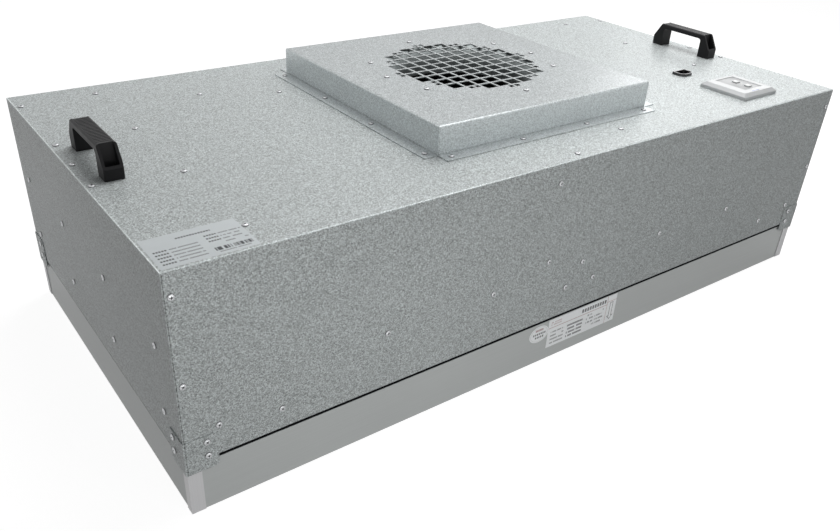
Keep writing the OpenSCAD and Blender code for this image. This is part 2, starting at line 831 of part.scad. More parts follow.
module run_capacitor() {
    color([0.85, 0.86, 0.87]) translate([capacitor_x, -in_d + 22, capacitor_z]) {
        cylinder(h = 62, r = capacitor_r - 0.05);
        translate([0, 0, 62]) cylinder(h = 3, r = capacitor_r - 3);
        for (x = [-6, 6]) translate([x - 3, -0.4, 65]) cube([6, 0.8, 9]);
    }
}

// ---- Fasteners ----

module shell_screws() {
    color([0.86, 0.87, 0.88]) {
        at_top(top_edge_screws, unit_height) pan_screw();
        at_top(top_guide_screws, unit_height) pan_screw();
        at_top(top_clip_screws, unit_height) pan_screw();
        for (s = [-1, 1]) {
            at_long_wall(wall_edge_screws, s, half_d) pan_screw();
            at_long_wall(deck_screws, s, half_d) pan_screw();
            at_long_wall(seat_screws, s, half_d) pan_screw();
        }
        at_long_wall(capacitor_screws, -1, half_d) pan_screw();
    }
}

module end_screws() {
    color([0.86, 0.87, 0.88]) for (s = [-1, 1]) {
        at_end_wall(end_guide_screws, s, half_l) pan_screw();
        at_end_wall(end_seat_screws, s, half_l) pan_screw();
    }
}

module hood_screws() {
    color([0.86, 0.87, 0.88]) {
        for (a = [0:90:270]) at_fan(unit_height + sheet) rotate(a)
            for (y = hood_steps) translate([hood_screw_r, y, 0]) pan_screw();
        at_fan(hood_z) for (a = ring_angles) rotate(a) translate([ring_screw_r, 0, 0]) pan_screw(4.5);
    }
}

module bracket_screws() {
    color([0.86, 0.87, 0.88]) for (s = [-1, 1]) {
        at_long_wall(bracket_points(half_l), s, half_d + sheet) pan_screw();
        at_end_wall(bracket_points(half_d), s, half_l + sheet) pan_screw();
    }
}

module handle_screws() {
    color([0.86, 0.87, 0.88]) handle_feet() translate([0, 0, handle_foot]) pan_screw(18);
}

module motor_screws() {
    color([0.80, 0.81, 0.82]) {
        at_fan(support_z + 8) base_bolts() pan_screw(13);
        at_fan(deck_z) support_bolts() pan_screw();
    }
}

housing_shell();
end_panel_left();
end_panel_right();
intake_hood();
inlet_ring();
fan_deck();
air_guide_left();
air_guide_right();
seat_angle_front();
seat_angle_back();
seat_angle_left();
seat_angle_right();
gasket();
filter_rail_front();
filter_rail_back();
filter_rail_left();
filter_rail_right();
filter_pack();
filter_guard();
filter_cap_front_left();
filter_cap_front_right();
filter_cap_back_left();
filter_cap_back_right();
bracket_front_left();
bracket_front_right();
bracket_back_left();
bracket_back_right();
handle_left();
handle_right();
controller_plate();
controller_body();
button_back();
button_front();
indicator_lens();
power_inlet();
inlet_pins();
motor_support();
motor_base();
stator_core();
stator_windings();
bearing_lower();
bearing_upper();
motor_shaft();
rotor_can();
impeller_wheel();
impeller_shroud();
impeller_screws();
capacitor_bracket();
run_capacitor();
shell_screws();
end_screws();
hood_screws();
bracket_screws();
handle_screws();
motor_screws();
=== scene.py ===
"""Looks of a ceiling fan filter unit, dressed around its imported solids.

The file holds, in this order: shader helpers, finishes, mesh helpers, one class for each
sub-assembly, the studio, and the main function.
"""
import logging
import math
from dataclasses import dataclass, field
from enum import Enum
from functools import reduce

import bmesh
import bpy
import numpy as np
from mathutils import Matrix, Vector


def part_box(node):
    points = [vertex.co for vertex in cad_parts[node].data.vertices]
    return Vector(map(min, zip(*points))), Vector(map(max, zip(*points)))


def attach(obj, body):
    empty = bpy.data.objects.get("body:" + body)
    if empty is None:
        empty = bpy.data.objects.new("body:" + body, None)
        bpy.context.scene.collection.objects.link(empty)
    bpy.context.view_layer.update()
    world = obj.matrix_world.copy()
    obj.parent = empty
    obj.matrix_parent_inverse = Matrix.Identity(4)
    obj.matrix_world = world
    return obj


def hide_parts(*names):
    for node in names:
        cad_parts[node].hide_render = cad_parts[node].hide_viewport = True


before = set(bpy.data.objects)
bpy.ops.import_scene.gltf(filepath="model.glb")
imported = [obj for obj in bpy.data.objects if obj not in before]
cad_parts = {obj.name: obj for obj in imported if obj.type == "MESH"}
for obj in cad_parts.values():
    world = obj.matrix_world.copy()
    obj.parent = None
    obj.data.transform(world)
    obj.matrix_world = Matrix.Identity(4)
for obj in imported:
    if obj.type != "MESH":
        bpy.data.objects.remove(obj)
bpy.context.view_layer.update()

LOG = logging.getLogger("fan_filter_unit")
MM = 0.001
UNIT_BODY = "unit"
ROTOR_BODY = "rotor"
CORNERS = ("front_left", "front_right", "back_left", "back_right")
POLE = 1e-7  # radius of a closed end, in metres, small enough for close_seams() to merge
FLAT = 1.0  # degrees up to which neighbouring faces count as one plane
EASED = 35.0  # degrees past which an edge of a moulded piece is eased
NO_FOLD = (9.0, 9.0, 9.0)  # a box too large for any piece to reach
Rgb = tuple[float, float, float]
Point = tuple[float, float, float]
Block = tuple[float, float, float, float]
Box = tuple[np.ndarray, np.ndarray]


def box_of(node: str) -> Box:
    """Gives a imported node's box.

    Args:
        node: the node's name.

    Returns:
        Its lowest and highest corners, in metres.
    """
    low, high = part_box(node)
    return np.array(low), np.array(high)


FAN_AXIS = sum(box_of("motor_shaft")) / 2
FAN_AXIS[2] = 0.0


# ---------------------------------------------------------------- shader helpers


class Val:
    """A number that varies over a surface: an output socket with Python's operators."""

    def __init__(self, kit: "NodeKit", socket: bpy.types.NodeSocket) -> None:
        self.kit = kit
        self.socket = socket

    def math(self, operation: str, other: "Val | float | None" = None,
             swapped: bool = False) -> "Val":
        """Adds one Math node.

        Args:
            operation: the Math node's operation.
            other: the second operand, if the operation has one.
            swapped: whether the second operand comes first.

        Returns:
            The result.
        """
        ends = [self] if other is None else [self, other]
        if swapped:
            ends.reverse()
        node = self.kit.add("ShaderNodeMath", {"operation": operation}, dict(enumerate(ends)))
        return Val(self.kit, node.outputs[0])

    def __add__(self, other: "Val | float") -> "Val":
        """Sum."""
        return self.math("ADD", other)

    __radd__ = __add__

    def __mul__(self, other: "Val | float") -> "Val":
        """Product."""
        return self.math("MULTIPLY", other)

    __rmul__ = __mul__

    def __sub__(self, other: "Val | float") -> "Val":
        """Difference."""
        return self.math("SUBTRACT", other)

    def __rsub__(self, other: float) -> "Val":
        """Difference with the number first."""
        return self.math("SUBTRACT", other, swapped=True)

    def __truediv__(self, other: "Val | float") -> "Val":
        """Quotient."""
        return self.math("DIVIDE", other)

    def __gt__(self, other: "Val | float") -> "Val":
        """1 where this is greater, else 0."""
        return self.math("GREATER_THAN", other)

    def __lt__(self, other: "Val | float") -> "Val":
        """1 where this is less, else 0."""
        return self.math("LESS_THAN", other)

    def __abs__(self) -> "Val":
        """Size without sign."""
        return self.math("ABSOLUTE")

    def __pow__(self, power: float) -> "Val":
        """Power."""
        return self.math("POWER", power)

    def floor(self) -> "Val":
        """Whole part, rounded down."""
        return self.math("FLOOR")

    def fract(self) -> "Val":
        """Part after the point."""
        return self.math("FRACT")

    def between(self, low: "Val | float", high: "Val | float") -> "Val":
        """1 from low to high, else 0."""
        return (self > low) * (self < high)

    def either(self, other: "Val") -> "Val":
        """The greater of two masks."""
        return self.math("MAXIMUM", other)

    def clamp(self) -> "Val":
        """Held from 0 to 1."""
        return self.math("MAXIMUM", 0.0).math("MINIMUM", 1.0)


class NodeKit:
    """Adds nodes to one material's tree, settings first and sockets after."""

    def __init__(self, tree: bpy.types.NodeTree) -> None:
        """Empties the tree and adds its coordinates.

        Args:
            tree: the node tree of a material or of the world.
        """
        self.tree = tree
        tree.nodes.clear()
        coordinates = self.add("ShaderNodeTexCoord")
        self.place = coordinates.outputs["Object"]
        self.uv = coordinates.outputs["UV"]

    def add(self, kind: str, settings: dict | None = None,
            sockets: dict | None = None) -> bpy.types.Node:
        """Adds one node.

        Args:
            kind: the node's type.
            settings: its properties; "stops" gives a colour ramp's (place, colour) pairs.
            sockets: values or links for its inputs, by name or number.

        Returns:
            The node.
        """
        node = self.tree.nodes.new(kind)
        settings = dict(settings or {})
        stops = settings.pop("stops", ())
        for key, value in settings.items():
            setattr(node, key, value)
        for number, (place, color) in enumerate(stops):
            elements = node.color_ramp.elements
            element = elements[number] if number < 2 else elements.new(place)
            element.position, element.color = place, (*color, 1.0)
        for key, value in (sockets or {}).items():
            self.plug(node.inputs[key], value)
        return node

    def plug(self, socket: bpy.types.NodeSocket, value: object) -> None:
        """Links a value or another socket to an input, or sets its number.

        Args:
            socket: the input.
            value: a Val, an output socket, a number or a tuple.
        """
        if isinstance(value, Val):
            value = value.socket
        if isinstance(value, bpy.types.NodeSocket):
            self.tree.links.new(value, socket)
        elif isinstance(value, tuple) and socket.type == "RGBA":
            socket.default_value = (*value[:3], 1.0)
        else:
            socket.default_value = value

    def axes(self, vector: bpy.types.NodeSocket) -> tuple[Val, Val, Val]:
        """Splits a vector into its three numbers."""
        node = self.add("ShaderNodeSeparateXYZ", {}, {0: vector})
        return tuple(Val(self, out) for out in node.outputs)

    def joined(self, x: "Val | float", y: "Val | float",
               z: "Val | float" = 0.0) -> bpy.types.NodeSocket:
        """Joins three numbers into a vector."""
        return self.add("ShaderNodeCombineXYZ", {}, {0: x, 1: y, 2: z}).outputs[0]

    def stretched(self, scale: tuple[float, float, float]) -> bpy.types.NodeSocket:
        """Object coordinates scaled by a different amount along each axis."""
        return self.add("ShaderNodeMapping", {}, {0: self.place, 3: scale}).outputs[0]

    def noise(self, scale: float, detail: float = 2.0,
              vector: bpy.types.NodeSocket | None = None) -> Val:
        """Smooth noise from 0 to 1.

        Args:
            scale: lumps per metre, or per unit of the vector.
            detail: how many finer layers it has.
            vector: where it is read; the object's coordinates if left out.

        Returns:
            The noise.
        """
        sockets = {"Vector": vector or self.place, "Scale": scale, "Detail": detail}
        return Val(self, self.add("ShaderNodeTexNoise", {}, sockets).outputs[0])

    def cells(self, scale: float) -> Val:
        """One random number for each grain of a cell pattern.

        Args:
            scale: grains per metre.

        Returns:
            The number, from 0 to 1.
        """
        grain = self.add("ShaderNodeTexVoronoi", {}, {"Vector": self.place, "Scale": scale})
        split = self.add("ShaderNodeSeparateColor", {}, {0: grain.outputs["Color"]})
        return Val(self, split.outputs[0])

    def chance(self, x: "Val | float", y: "Val | float", seed: float) -> Val:
        """One random number for each whole pair of x and y."""
        node = self.add("ShaderNodeTexWhiteNoise", {}, {"Vector": self.joined(x, y, seed)})
        return Val(self, node.outputs[0])

    def tint(self, color: Rgb, amount: Val) -> bpy.types.NodeSocket:
        """A colour made lighter or darker by a varying amount, where 1 leaves it."""
        node = self.add("ShaderNodeVectorMath", {"operation": "SCALE"}, {0: color, 3: amount})
        return node.outputs[0]

    def mix(self, share: Val, first: object, second: object) -> bpy.types.NodeSocket:
        """Two colours mixed, all first where share is 0 and all second where it is 1."""
        node = self.add("ShaderNodeMix", {"data_type": "RGBA"}, {0: share, 6: first, 7: second})
        return node.outputs[2]

    def bump(self, height: Val, depth: float) -> bpy.types.NodeSocket:
        """A normal from a height of 0 to 1 that stands for a real depth.

        Args:
            height: the height.
            depth: what a height of 1 stands for, in metres.

        Returns:
            The normal.
        """
        return self.add("ShaderNodeBump", {}, {"Distance": depth, "Height": height}).outputs[0]


# ---------------------------------------------------------------- finishes


@dataclass(frozen=True)
class Finish:
    """A surface finish: its colour and gloss, and a paint method that gives it detail.

    Relief is the real depth of its finest pattern, in metres.
    """

    name: str
    color: Rgb
    roughness: float = 0.5
    metallic: float = 0.0
    coat: float = 0.0
    shine: float = 0.5
    relief: float = 0.0

    def material(self) -> bpy.types.Material:
        """Builds the material once.

        Returns:
            The material of this finish's name.
        """
        known = bpy.data.materials.get(self.name)
        if known:
            return known
        material = bpy.data.materials.new(self.name)
        material.use_nodes = True
        material.diffuse_color = (*self.color, 1.0)
        kit = NodeKit(material.node_tree)
        shader = kit.add("ShaderNodeBsdfPrincipled", {}, {
            "Base Color": self.color, "Roughness": self.roughness,
            "Metallic": self.metallic, "Coat Weight": self.coat,
            "Specular IOR Level": self.shine})
        self.paint(kit, shader)
        kit.add("ShaderNodeOutputMaterial", {}, {"Surface": shader.outputs[0]})
        return material

    def paint(self, kit: NodeKit, shader: bpy.types.Node) -> None:
        """Adds a faint cloudiness; most finishes put their own detail here.

        Args:
            kit: adds the nodes.
            shader: the surface shader to feed.
        """
        cloud = kit.noise(40.0, 3.0)
        self.lay(kit, shader, 0.94 + cloud * 0.12, self.roughness - 0.05 + cloud * 0.1)

    def lay(self, kit: NodeKit, shader: bpy.types.Node, tone: Val,
            roughness: Val | None = None, height: Val | None = None) -> None:
        """Feeds what varies over the surface to the shader.

        Args:
            kit: adds the nodes.
            shader: the surface shader to feed.
            tone: how light the colour is, where 1 leaves it.
            roughness: the roughness, if it varies.
            height: a height of 0 to 1, which the finish's relief makes real, if it has one.
        """
        kit.plug(shader.inputs["Base Color"], kit.tint(self.color, tone))
        if roughness is not None:
            kit.plug(shader.inputs["Roughness"], roughness)
        if height is not None:
            kit.plug(shader.inputs["Normal"], kit.bump(height, self.relief))


@dataclass(frozen=True)
class Galvanised(Finish):
    """Hot-dip zinc: a fine spangle of grains, faint clouds, and burnished folds.

    The folds are the box's outer edges: fold holds half the length, half the depth and the
    top of that box about its own axis. A painted shadow line, standing in for the shade in the
    seam's gap, runs down each upright corner, between two distances from the end of the box and
    within reach of its side.
    """

    metallic: float = 0.10
    roughness: float = 0.42
    shine: float = 0.12
    relief: float = 0.03 * MM
    grain: float = 820.0
    contrast: float = 0.95
    axis: tuple[float, float] = (0.0, 0.0)
    fold: Point = NO_FOLD
    bend: float = 1.3 * MM
    # how much the painted highlight lightens the bends
    painted_highlight: float = 0.4
    seam: tuple[float, float] = (1.9 * MM, 0.9 * MM)
    seam_reach: float = 0.6 * MM
    # how much the painted shadow darkens the seam line
    painted_seam_shadow: float = 0.45
    # how much the painted light lightens the sides below the top edges
    painted_side_light: float = 0.0
    foot: float = 0.0

    def folds(self, kit: NodeKit) -> tuple[Val, Val, Val]:
        """Masks for the painted highlight on the top edges' bends, the painted shadow at the
        upright corners' seams and the painted light on the sides.

        The painted light on the sides counts in full above the height foot, and by half on the
        flange below it.

        Args:
            kit: adds the nodes.

        Returns:
            Three numbers: 1 on a bend, 1 on a seam, and 1 or a half on a side that gets painted
                light.
        """
        x, y, z = kit.axes(kit.place)
        half_x, half_y, top = self.fold
        out_x, out_y = abs(x - self.axis[0]) - half_x, abs(y - self.axis[1]) - half_y
        side = (out_x > -self.bend).either(out_y > -self.bend)
        corner = out_x.between(-self.seam[0], -self.seam[1]) * (out_y > -self.seam_reach)
        below = z < top - self.bend
        painted_side_light = side * below * (0.5 + (z > self.foot) * 0.5)
        return side * (1.0 - below), corner * below, painted_side_light

    def paint(self, kit: NodeKit, shader: bpy.types.Node) -> None:
        """Tone = 1 + contrast * (grains and speckle, centred) + clouds + painted highlight on
        bends - painted shadow at seams + painted light on the sides.

        Args:
            kit: adds the nodes.
            shader: the surface shader to feed.
        """
        grains, speckle = kit.cells(self.grain), kit.noise(self.grain * 1.2, 2.0)
        cloud = kit.noise(3.2, 3.0)
        # rim: painted highlight on the bends; seam: painted shadow in the seams' gaps; upright:
        # painted light on the sides
        rim, seam, upright = self.folds(kit)
        mottle = (grains - 0.5) * 0.9 + (speckle - 0.5) * 1.8
        tone = (1.0 + mottle * self.contrast + (cloud - 0.5) * 0.06 + rim * self.painted_highlight
                - seam * self.painted_seam_shadow + upright * self.painted_side_light)
        roughness = self.roughness + (grains - 0.5) * 0.05 + (cloud - 0.5) * 0.10
        kit.plug(shader.inputs["Metallic"], self.metallic + rim * 0.2)
        self.lay(kit, shader, tone, roughness.clamp(), speckle)


@dataclass(frozen=True)
class DrawnAluminium(Finish):
    """Rolled or extruded aluminium with fine lines along one axis."""

    metallic: float = 0.28
    roughness: float = 0.36
    shine: float = 0.2
    relief: float = 0.02 * MM
    along: int = 0
    fine: float = 900.0
    coarse: float = 6.0

    def paint(self, kit: NodeKit, shader: bpy.types.Node) -> None:
        """Lines are noise squeezed across the length and stretched along it.

        Args:
            kit: adds the nodes.
            shader: the surface shader to feed.
        """
        scale = [self.fine] * 3
        scale[self.along] = self.coarse
        lines = kit.noise(1.0, 2.0, kit.stretched(tuple(scale)))
        cloud = kit.noise(5.0, 3.0)
        self.lay(kit, shader, 0.90 + lines * 0.12 + cloud * 0.08,
                 self.roughness - 0.06 + lines * 0.08 + cloud * 0.06, lines)


@dataclass(frozen=True)
class SpunSteel(Finish):
    """Sheet spun or turned about the fan's axis, with fine rings."""

    metallic: float = 0.75
    roughness: float = 0.34
    relief: float = 0.03 * MM
    fine: float = 700.0

    def paint(self, kit: NodeKit, shader: bpy.types.Node) -> None:
        """Rings are noise read along the distance from the axis and the height.

        Args:
            kit: adds the nodes.
            shader: the surface shader to feed.
        """
        x, y, z = kit.axes(kit.place)
        dx, dy = x - float(FAN_AXIS[0]), y - float(FAN_AXIS[1])
        radius = (dx * dx + dy * dy) ** 0.5
        rings = kit.noise(1.0, 2.0, kit.joined(radius * self.fine, z * self.fine))
        grains = kit.cells(300.0)
        self.lay(kit, shader, 0.86 + rings * 0.18 + grains * 0.10,
                 self.roughness - 0.06 + rings * 0.14, rings)


@dataclass(frozen=True)
class Plated(Finish):
    """Bright zinc plate on a fastener, with small stains, painted shade in the recess and a
    painted contact shadow at the head's foot.

    Where the piece's own UV map has a first number above a half, the plate is dull and dark:
    painted shade.
    """

    metallic: float = 0.85
    roughness: float = 0.28

    def paint(self, kit: NodeKit, shader: bpy.types.Node) -> None:
        """Stains are noise at the scale of a screw head.

        Args:
            kit: adds the nodes.
            shader: the surface shader to feed.
        """
        stain = kit.noise(420.0, 3.0)
        # painted shade: darkens the recess and the head's foot, where the UV map marks them
        painted_shade = kit.axes(kit.uv)[0].clamp()
        self.lay(kit, shader, (0.80 + stain * 0.36) * (1.0 - painted_shade * 0.82),
                 self.roughness - 0.08 + stain * 0.22)


@dataclass(frozen=True)
class Moulded(Finish):
    """Moulded plastic with a fine grain and faint handling marks."""

    relief: float = 0.04 * MM
    grain: float = 1500.0

    def paint(self, kit: NodeKit, shader: bpy.types.Node) -> None:
        """Grain is fine noise as relief; wear is coarse noise that changes the gloss.

        Args:
            kit: adds the nodes.
            shader: the surface shader to feed.
        """
        grain, wear = kit.noise(self.grain, 2.0), kit.noise(55.0, 4.0)
        roughness = self.roughness - 0.09 + wear * 0.18 + (grain - 0.5) * 0.06
        self.lay(kit, shader, 0.90 + wear * 0.2, roughness.clamp(), grain)


@dataclass(frozen=True)
class SwitchPlate(Moulded):
    """Glossy plate with a greyer panel; inlay is the panel's box in plan, in metres."""

    inlay: Block = (0.0, 0.0, 0.0, 0.0)
    shade: float = 0.36

    def paint(self, kit: NodeKit, shader: bpy.types.Node) -> None:
        """Tone = wear, less the shade inside the panel.

        Args:
            kit: adds the nodes.
            shader: the surface shader to feed.
        """
        wear = kit.noise(55.0, 4.0)
        x, y, _ = kit.axes(kit.place)
        left, front, right, back = self.inlay
        panel = x.between(left, right) * y.between(front, back)
        roughness = self.roughness - 0.06 + wear * 0.12
        self.lay(kit, shader, 0.96 + wear * 0.08 - panel * self.shade, roughness.clamp(),
                 kit.noise(self.grain, 2.0))


@dataclass(frozen=True)
class Foam(Finish):
    """Closed-cell sealing foam: pores in a dull black skin."""

    roughness: float = 0.9
    shine: float = 0.05
    relief: float = 0.1 * MM

    def paint(self, kit: NodeKit, shader: bpy.types.Node) -> None:
        """Pores are a cell pattern seen as tone and relief.

        Args:
            kit: adds the nodes.
            shader: the surface shader to feed.
        """
        pores = kit.cells(1400.0)
        self.lay(kit, shader, 0.6 + pores * 0.8, height=pores)


@dataclass(frozen=True)
class GlassPaper(Finish):
    """Glass-fibre filter paper: matted fibres and a little dust."""

    roughness: float = 0.95
    relief: float = 0.12 * MM

    def paint(self, kit: NodeKit, shader: bpy.types.Node) -> None:
        """Fibres are noise stretched two ways and added.

        Args:
            kit: adds the nodes.
            shader: the surface shader to feed.
        """
        one = kit.noise(1.0, 3.0, kit.stretched((300.0, 2400.0, 2400.0)))
        two = kit.noise(1.0, 3.0, kit.stretched((2400.0, 300.0, 900.0)))
        fibres = (one + two) * 0.5
        self.lay(kit, shader, 0.88 + fibres * 0.2, height=fibres)


@dataclass(frozen=True)
class Enamelled(Finish):
    """Powder coat or paint: an even colour over a faint orange-peel relief."""

    roughness: float = 0.42
    relief: float = 0.05 * MM

    def paint(self, kit: NodeKit, shader: bpy.types.Node) -> None:
        """Peel is smooth noise a millimetre or two across.

        Args:
            kit: adds the nodes.
            shader: the surface shader to feed.
        """
        peel, cloud = kit.noise(520.0, 1.0), kit.noise(18.0, 3.0)
        self.lay(kit, shader, 0.95 + cloud * 0.1, self.roughness - 0.05 + cloud * 0.1, peel)


@dataclass(frozen=True)
class Laminated(Finish):
    """A stack of thin steel stampings, seen as fine level lines."""

    metallic: float = 0.7
    roughness: float = 0.45

    def paint(self, kit: NodeKit, shader: bpy.types.Node) -> None:
        """Lines repeat every half millimetre of height.

        Args:
            kit: adds the nodes.
            shader: the surface shader to feed.
        """
        _, _, z = kit.axes(kit.place)
        line = (z * 2000.0).fract() > 0.7
        self.lay(kit, shader, 1.0 - line * 0.45, self.roughness + line * 0.25)


@dataclass(frozen=True)
class WoundCopper(Finish):
    """Enamelled winding wire, lying round the fan's axis."""

    metallic: float = 0.8
    roughness: float = 0.3
    relief: float = 0.2 * MM

    def paint(self, kit: NodeKit, shader: bpy.types.Node) -> None:
        """Turns are stripes of height with a waver.

        Args:
            kit: adds the nodes.
            shader: the surface shader to feed.
        """
        _, _, z = kit.axes(kit.place)
        turn = ((z * 1400.0 + kit.noise(90.0) * 1.5).fract() - 0.5) * 2.0
        shade = 1.0 - abs(turn)
        self.lay(kit, shader, 0.55 + shade * 0.6, height=shade)


class Layout(Enum):
    """The generic prints that stand on the unit."""

    DATA_LINES = "data_lines"
    FILTER_CARD = "filter_card"
    OVAL_SEAL = "oval_seal"


@dataclass(frozen=True)
class Print(Finish):
    """Ink on a label. The label's own UV map is in millimetres from its lower left corner."""

    roughness: float = 0.45
    ink: Rgb = (0.02, 0.02, 0.025)
    rule: Rgb = (0.30, 0.10, 0.10)
    layout: Layout = Layout.DATA_LINES
    word: float = 7.0
    missing_words: float = 0.12
    missing_bars: float = 0.42

    def words(self, kit: NodeKit, block: Block, pitch: float, seed: float,
              letter: float = 1.15, height: float = 0.5, missing: float = 0.2,
              gap: float = 0.22) -> Val:
        """Rows of grey marks in place of words.

        Args:
            kit: adds the nodes.
            block: left, bottom, width and height of the block, in millimetres.
            pitch: distance from row to row.
            seed: picks another set of gaps.
            letter: width of one mark.
            height: share of the pitch that a mark is high.
            missing: share of the marks that are left out.
            gap: share of a mark's width that stays bare.

        Returns:
            1 on a mark, else 0.
        """
        u, v, _ = kit.axes(kit.uv)
        x, y = u - block[0], v - block[1]
        row, column = (y / pitch).floor(), (x / letter).floor()
        mark = kit.chance(column, row, seed) > missing
        word = kit.chance((column / self.word).floor(), row, seed + 3.0) > self.missing_words
        band = (y / pitch).fract().between(0.5 - height / 2, 0.5 + height / 2)
        stem = (x / letter).fract() > gap
        inside = x.between(0.0, block[2]) * y.between(0.0, block[3])
        return mark * word * band * stem * inside

    def blocks(self, kit: NodeKit, *table: tuple) -> Val:
        """Several blocks of words at once.

        Args:
            kit: adds the nodes.
            table: for each block, how dark it is, and then what words() takes.

        Returns:
            The darkest of them at each place.
        """
        return reduce(Val.either, (self.words(kit, *row) * dark for dark, *row in table))

    def bars(self, kit: NodeKit, block: Block, width: float, seed: float) -> Val:
        """A block of plain upright bars.

        Args:
            kit: adds the nodes.
            block: left, bottom, width and height, in millimetres.
            width: width of the narrowest bar.
            seed: picks another rhythm.

        Returns:
            1 on a bar, else 0.
        """
        u, v, _ = kit.axes(kit.uv)
        x, y = u - block[0], v - block[1]
        bar = kit.chance((x / width).floor(), 0.0, seed) > self.missing_bars
        return bar * x.between(0.0, block[2]) * y.between(0.0, block[3])

    def area(self, kit: NodeKit, left: float, bottom: float, width: float,
             height: float) -> Val:
        """A filled rectangle."""
        u, v, _ = kit.axes(kit.uv)
        return u.between(left, left + width) * v.between(bottom, bottom + height)

    def arrow(self, kit: NodeKit, middle: float) -> Val:
        """The outline of a plain arrow that points down.

        The head's slope is where the distance from the middle is 0.9 of the height over
        the tip.

        Args:
            kit: adds the nodes.
            middle: its middle line, in millimetres.

        Returns:
            1 on the outline, else 0.
        """
        u, v, _ = kit.axes(kit.uv)
        inner, outer, tip, neck, top = 2.4, 3.4, 4.0, 11.0, 36.0
        beside = abs(u - middle)
        stem = beside.between(inner, outer) * v.between(neck, top)
        slope = beside + (v - tip) * -0.9
        head = slope.between(-1.2, 0.2) * v.between(tip, neck + 0.5)
        barb = v.between(neck - 0.8, neck + 0.4) * beside.between(inner, 6.6)
        cap = v.between(top - 1.0, top) * (beside < outer)
        return stem.either(head).either(barb).either(cap)

    def data_lines(self, kit: NodeKit) -> tuple[Val, Val]:
        """A title, two columns of rows and a bar block, for a 104 x 66 mm print.

        Args:
            kit: adds the nodes.

        Returns:
            The ink's mask and the fine rules' mask.
        """
        ink = self.blocks(
            kit,
            (1.0, (34, 51, 38, 4.6), 4.6, 1.0, 3.0, 0.6, 0.0, 0.3),
            (1.0, (4, 5, 15, 33), 6.6, 2.0, 2.9, 0.42, 0.0, 0.32),
            (0.8, (21, 5, 30, 33), 6.6, 3.0, 1.5, 0.34, 0.1, 0.3),
            (1.0, (60, 20, 14, 27), 6.6, 4.0, 2.9, 0.42, 0.0, 0.32),
            (0.8, (76, 20, 25, 27), 6.6, 5.0, 1.5, 0.34, 0.1, 0.3),
            (0.8, (62, 4.0, 38, 3), 3.0, 7.0, 1.6, 0.6, 0.1, 0.3))
        return ink.either(self.bars(kit, (60, 8.5, 42, 7), 0.8, 6.0)), ink * 0.0

    def filter_card(self, kit: NodeKit) -> tuple[Val, Val]:
        """A header bar, ruled fields, rows and a plain arrow, for a 147 x 49 mm card.

        Args:
            kit: adds the nodes.

        Returns:
            The ink's mask and the fine rules' mask.
        """
        ink = self.blocks(
            kit,
            (1.0, (68, 36.4, 55, 9.4), 9.4, 1.0, 5.5, 0.66, 0.0, 0.34),
            (0.75, (6, 3, 28, 26), 6.5, 2.0, 1.7, 0.42, 0.1),
            (1.0, (40, 3, 34, 26), 6.5, 3.0, 2.1, 0.52, 0.2),
            (0.85, (82, 6, 38, 26), 6.5, 4.0, 1.7, 0.46, 0.25))
        rules = ((0, 33.6, 126, 0.9), (126, 0, 0.8, 49), (126, 38, 21, 0.8))
        rule = reduce(Val.either, (self.area(kit, *edges) for edges in rules))
        blush = self.words(kit, (5, 37, 22, 8), 4.0, 8.0, 2.4, 0.6, 0.1)
        return ink.either(self.arrow(kit, 137.0)), rule.either(blush * 0.6)

    def oval_seal(self, kit: NodeKit) -> tuple[Val, Val]:
        """An oval ring with three rows inside, for a 38 x 28 mm seal.

        Args:
            kit: adds the nodes.

        Returns:
            The ink's mask and the fine rules' mask.
        """
        u, v, _ = kit.axes(kit.uv)
        half_width, half_height = 19.0, 14.0
        across, up = (u - half_width) / half_width, (v - half_height) / half_height
        ring = ((across * across + up * up) ** 0.5).between(0.84, 0.90)
        ink = self.blocks(
            kit,
            (1.0, (10, 6.5, 19, 4.6), 4.6, 1.0, 4.6, 0.7, 0.0, 0.4),
            (1.0, (6, 12, 26, 4.6), 4.6, 2.0, 3.7, 0.7, 0.0, 0.35))
        blush = self.words(kit, (11, 18, 16, 6), 6.0, 3.0, 2.6, 0.6, 0.05)
        return ink.either(ring * 0.25), blush

    def paint(self, kit: NodeKit, shader: bpy.types.Node) -> None:
        """Lays the ink and the rules of the layout over the label's own colour.

        Args:
            kit: adds the nodes.
            shader: the surface shader to feed.
        """
        ink, rule = getattr(self, self.layout.value)(kit)
        worn = 0.75 + kit.noise(900.0, 2.0) * 0.25
        paper = kit.tint(self.color, 0.95 + kit.noise(60.0, 3.0) * 0.1)
        ruled = kit.mix(rule * 0.75, paper, self.rule)
        kit.plug(shader.inputs["Base Color"], kit.mix(ink * worn, ruled, self.ink))
        kit.plug(shader.inputs["Roughness"], self.roughness + ink * 0.15)


HOUSING_BOX, HOOD_BOX = box_of("housing_shell"), box_of("intake_hood")
# The housing's bends carry a painted highlight, and its end walls' seams a painted shadow line.
HOUSING_ZINC = Galvanised("housing_zinc", (0.512, 0.545, 0.545), fold=(
    float(box_of("end_panel_right")[1][0]), float(HOUSING_BOX[1][1]), float(HOUSING_BOX[1][2])))
# The hood's sides get painted light that lifts their tone by 0.72, and the flange gets half of
# that; its bends get the painted highlight too.
HOOD_ZINC = Galvanised(
    "hood_zinc", (0.395, 0.419, 0.424), contrast=0.9, roughness=0.36, metallic=0.5, painted_side_light=0.72,
    axis=(float(FAN_AXIS[0]), float(FAN_AXIS[1])),
    fold=(0.2, 0.2, float(HOOD_BOX[1][2])), foot=float(HOUSING_BOX[1][2]) + 2.6 * MM)
# Darker than the housing's zinc: painted shade for the inside of the unit.
INNER_ZINC = Galvanised("inner_zinc", (0.44, 0.46, 0.46))
SPUN_MOUTH = SpunSteel("spun_mouth", (0.25, 0.275, 0.275), roughness=0.56, metallic=0.55)
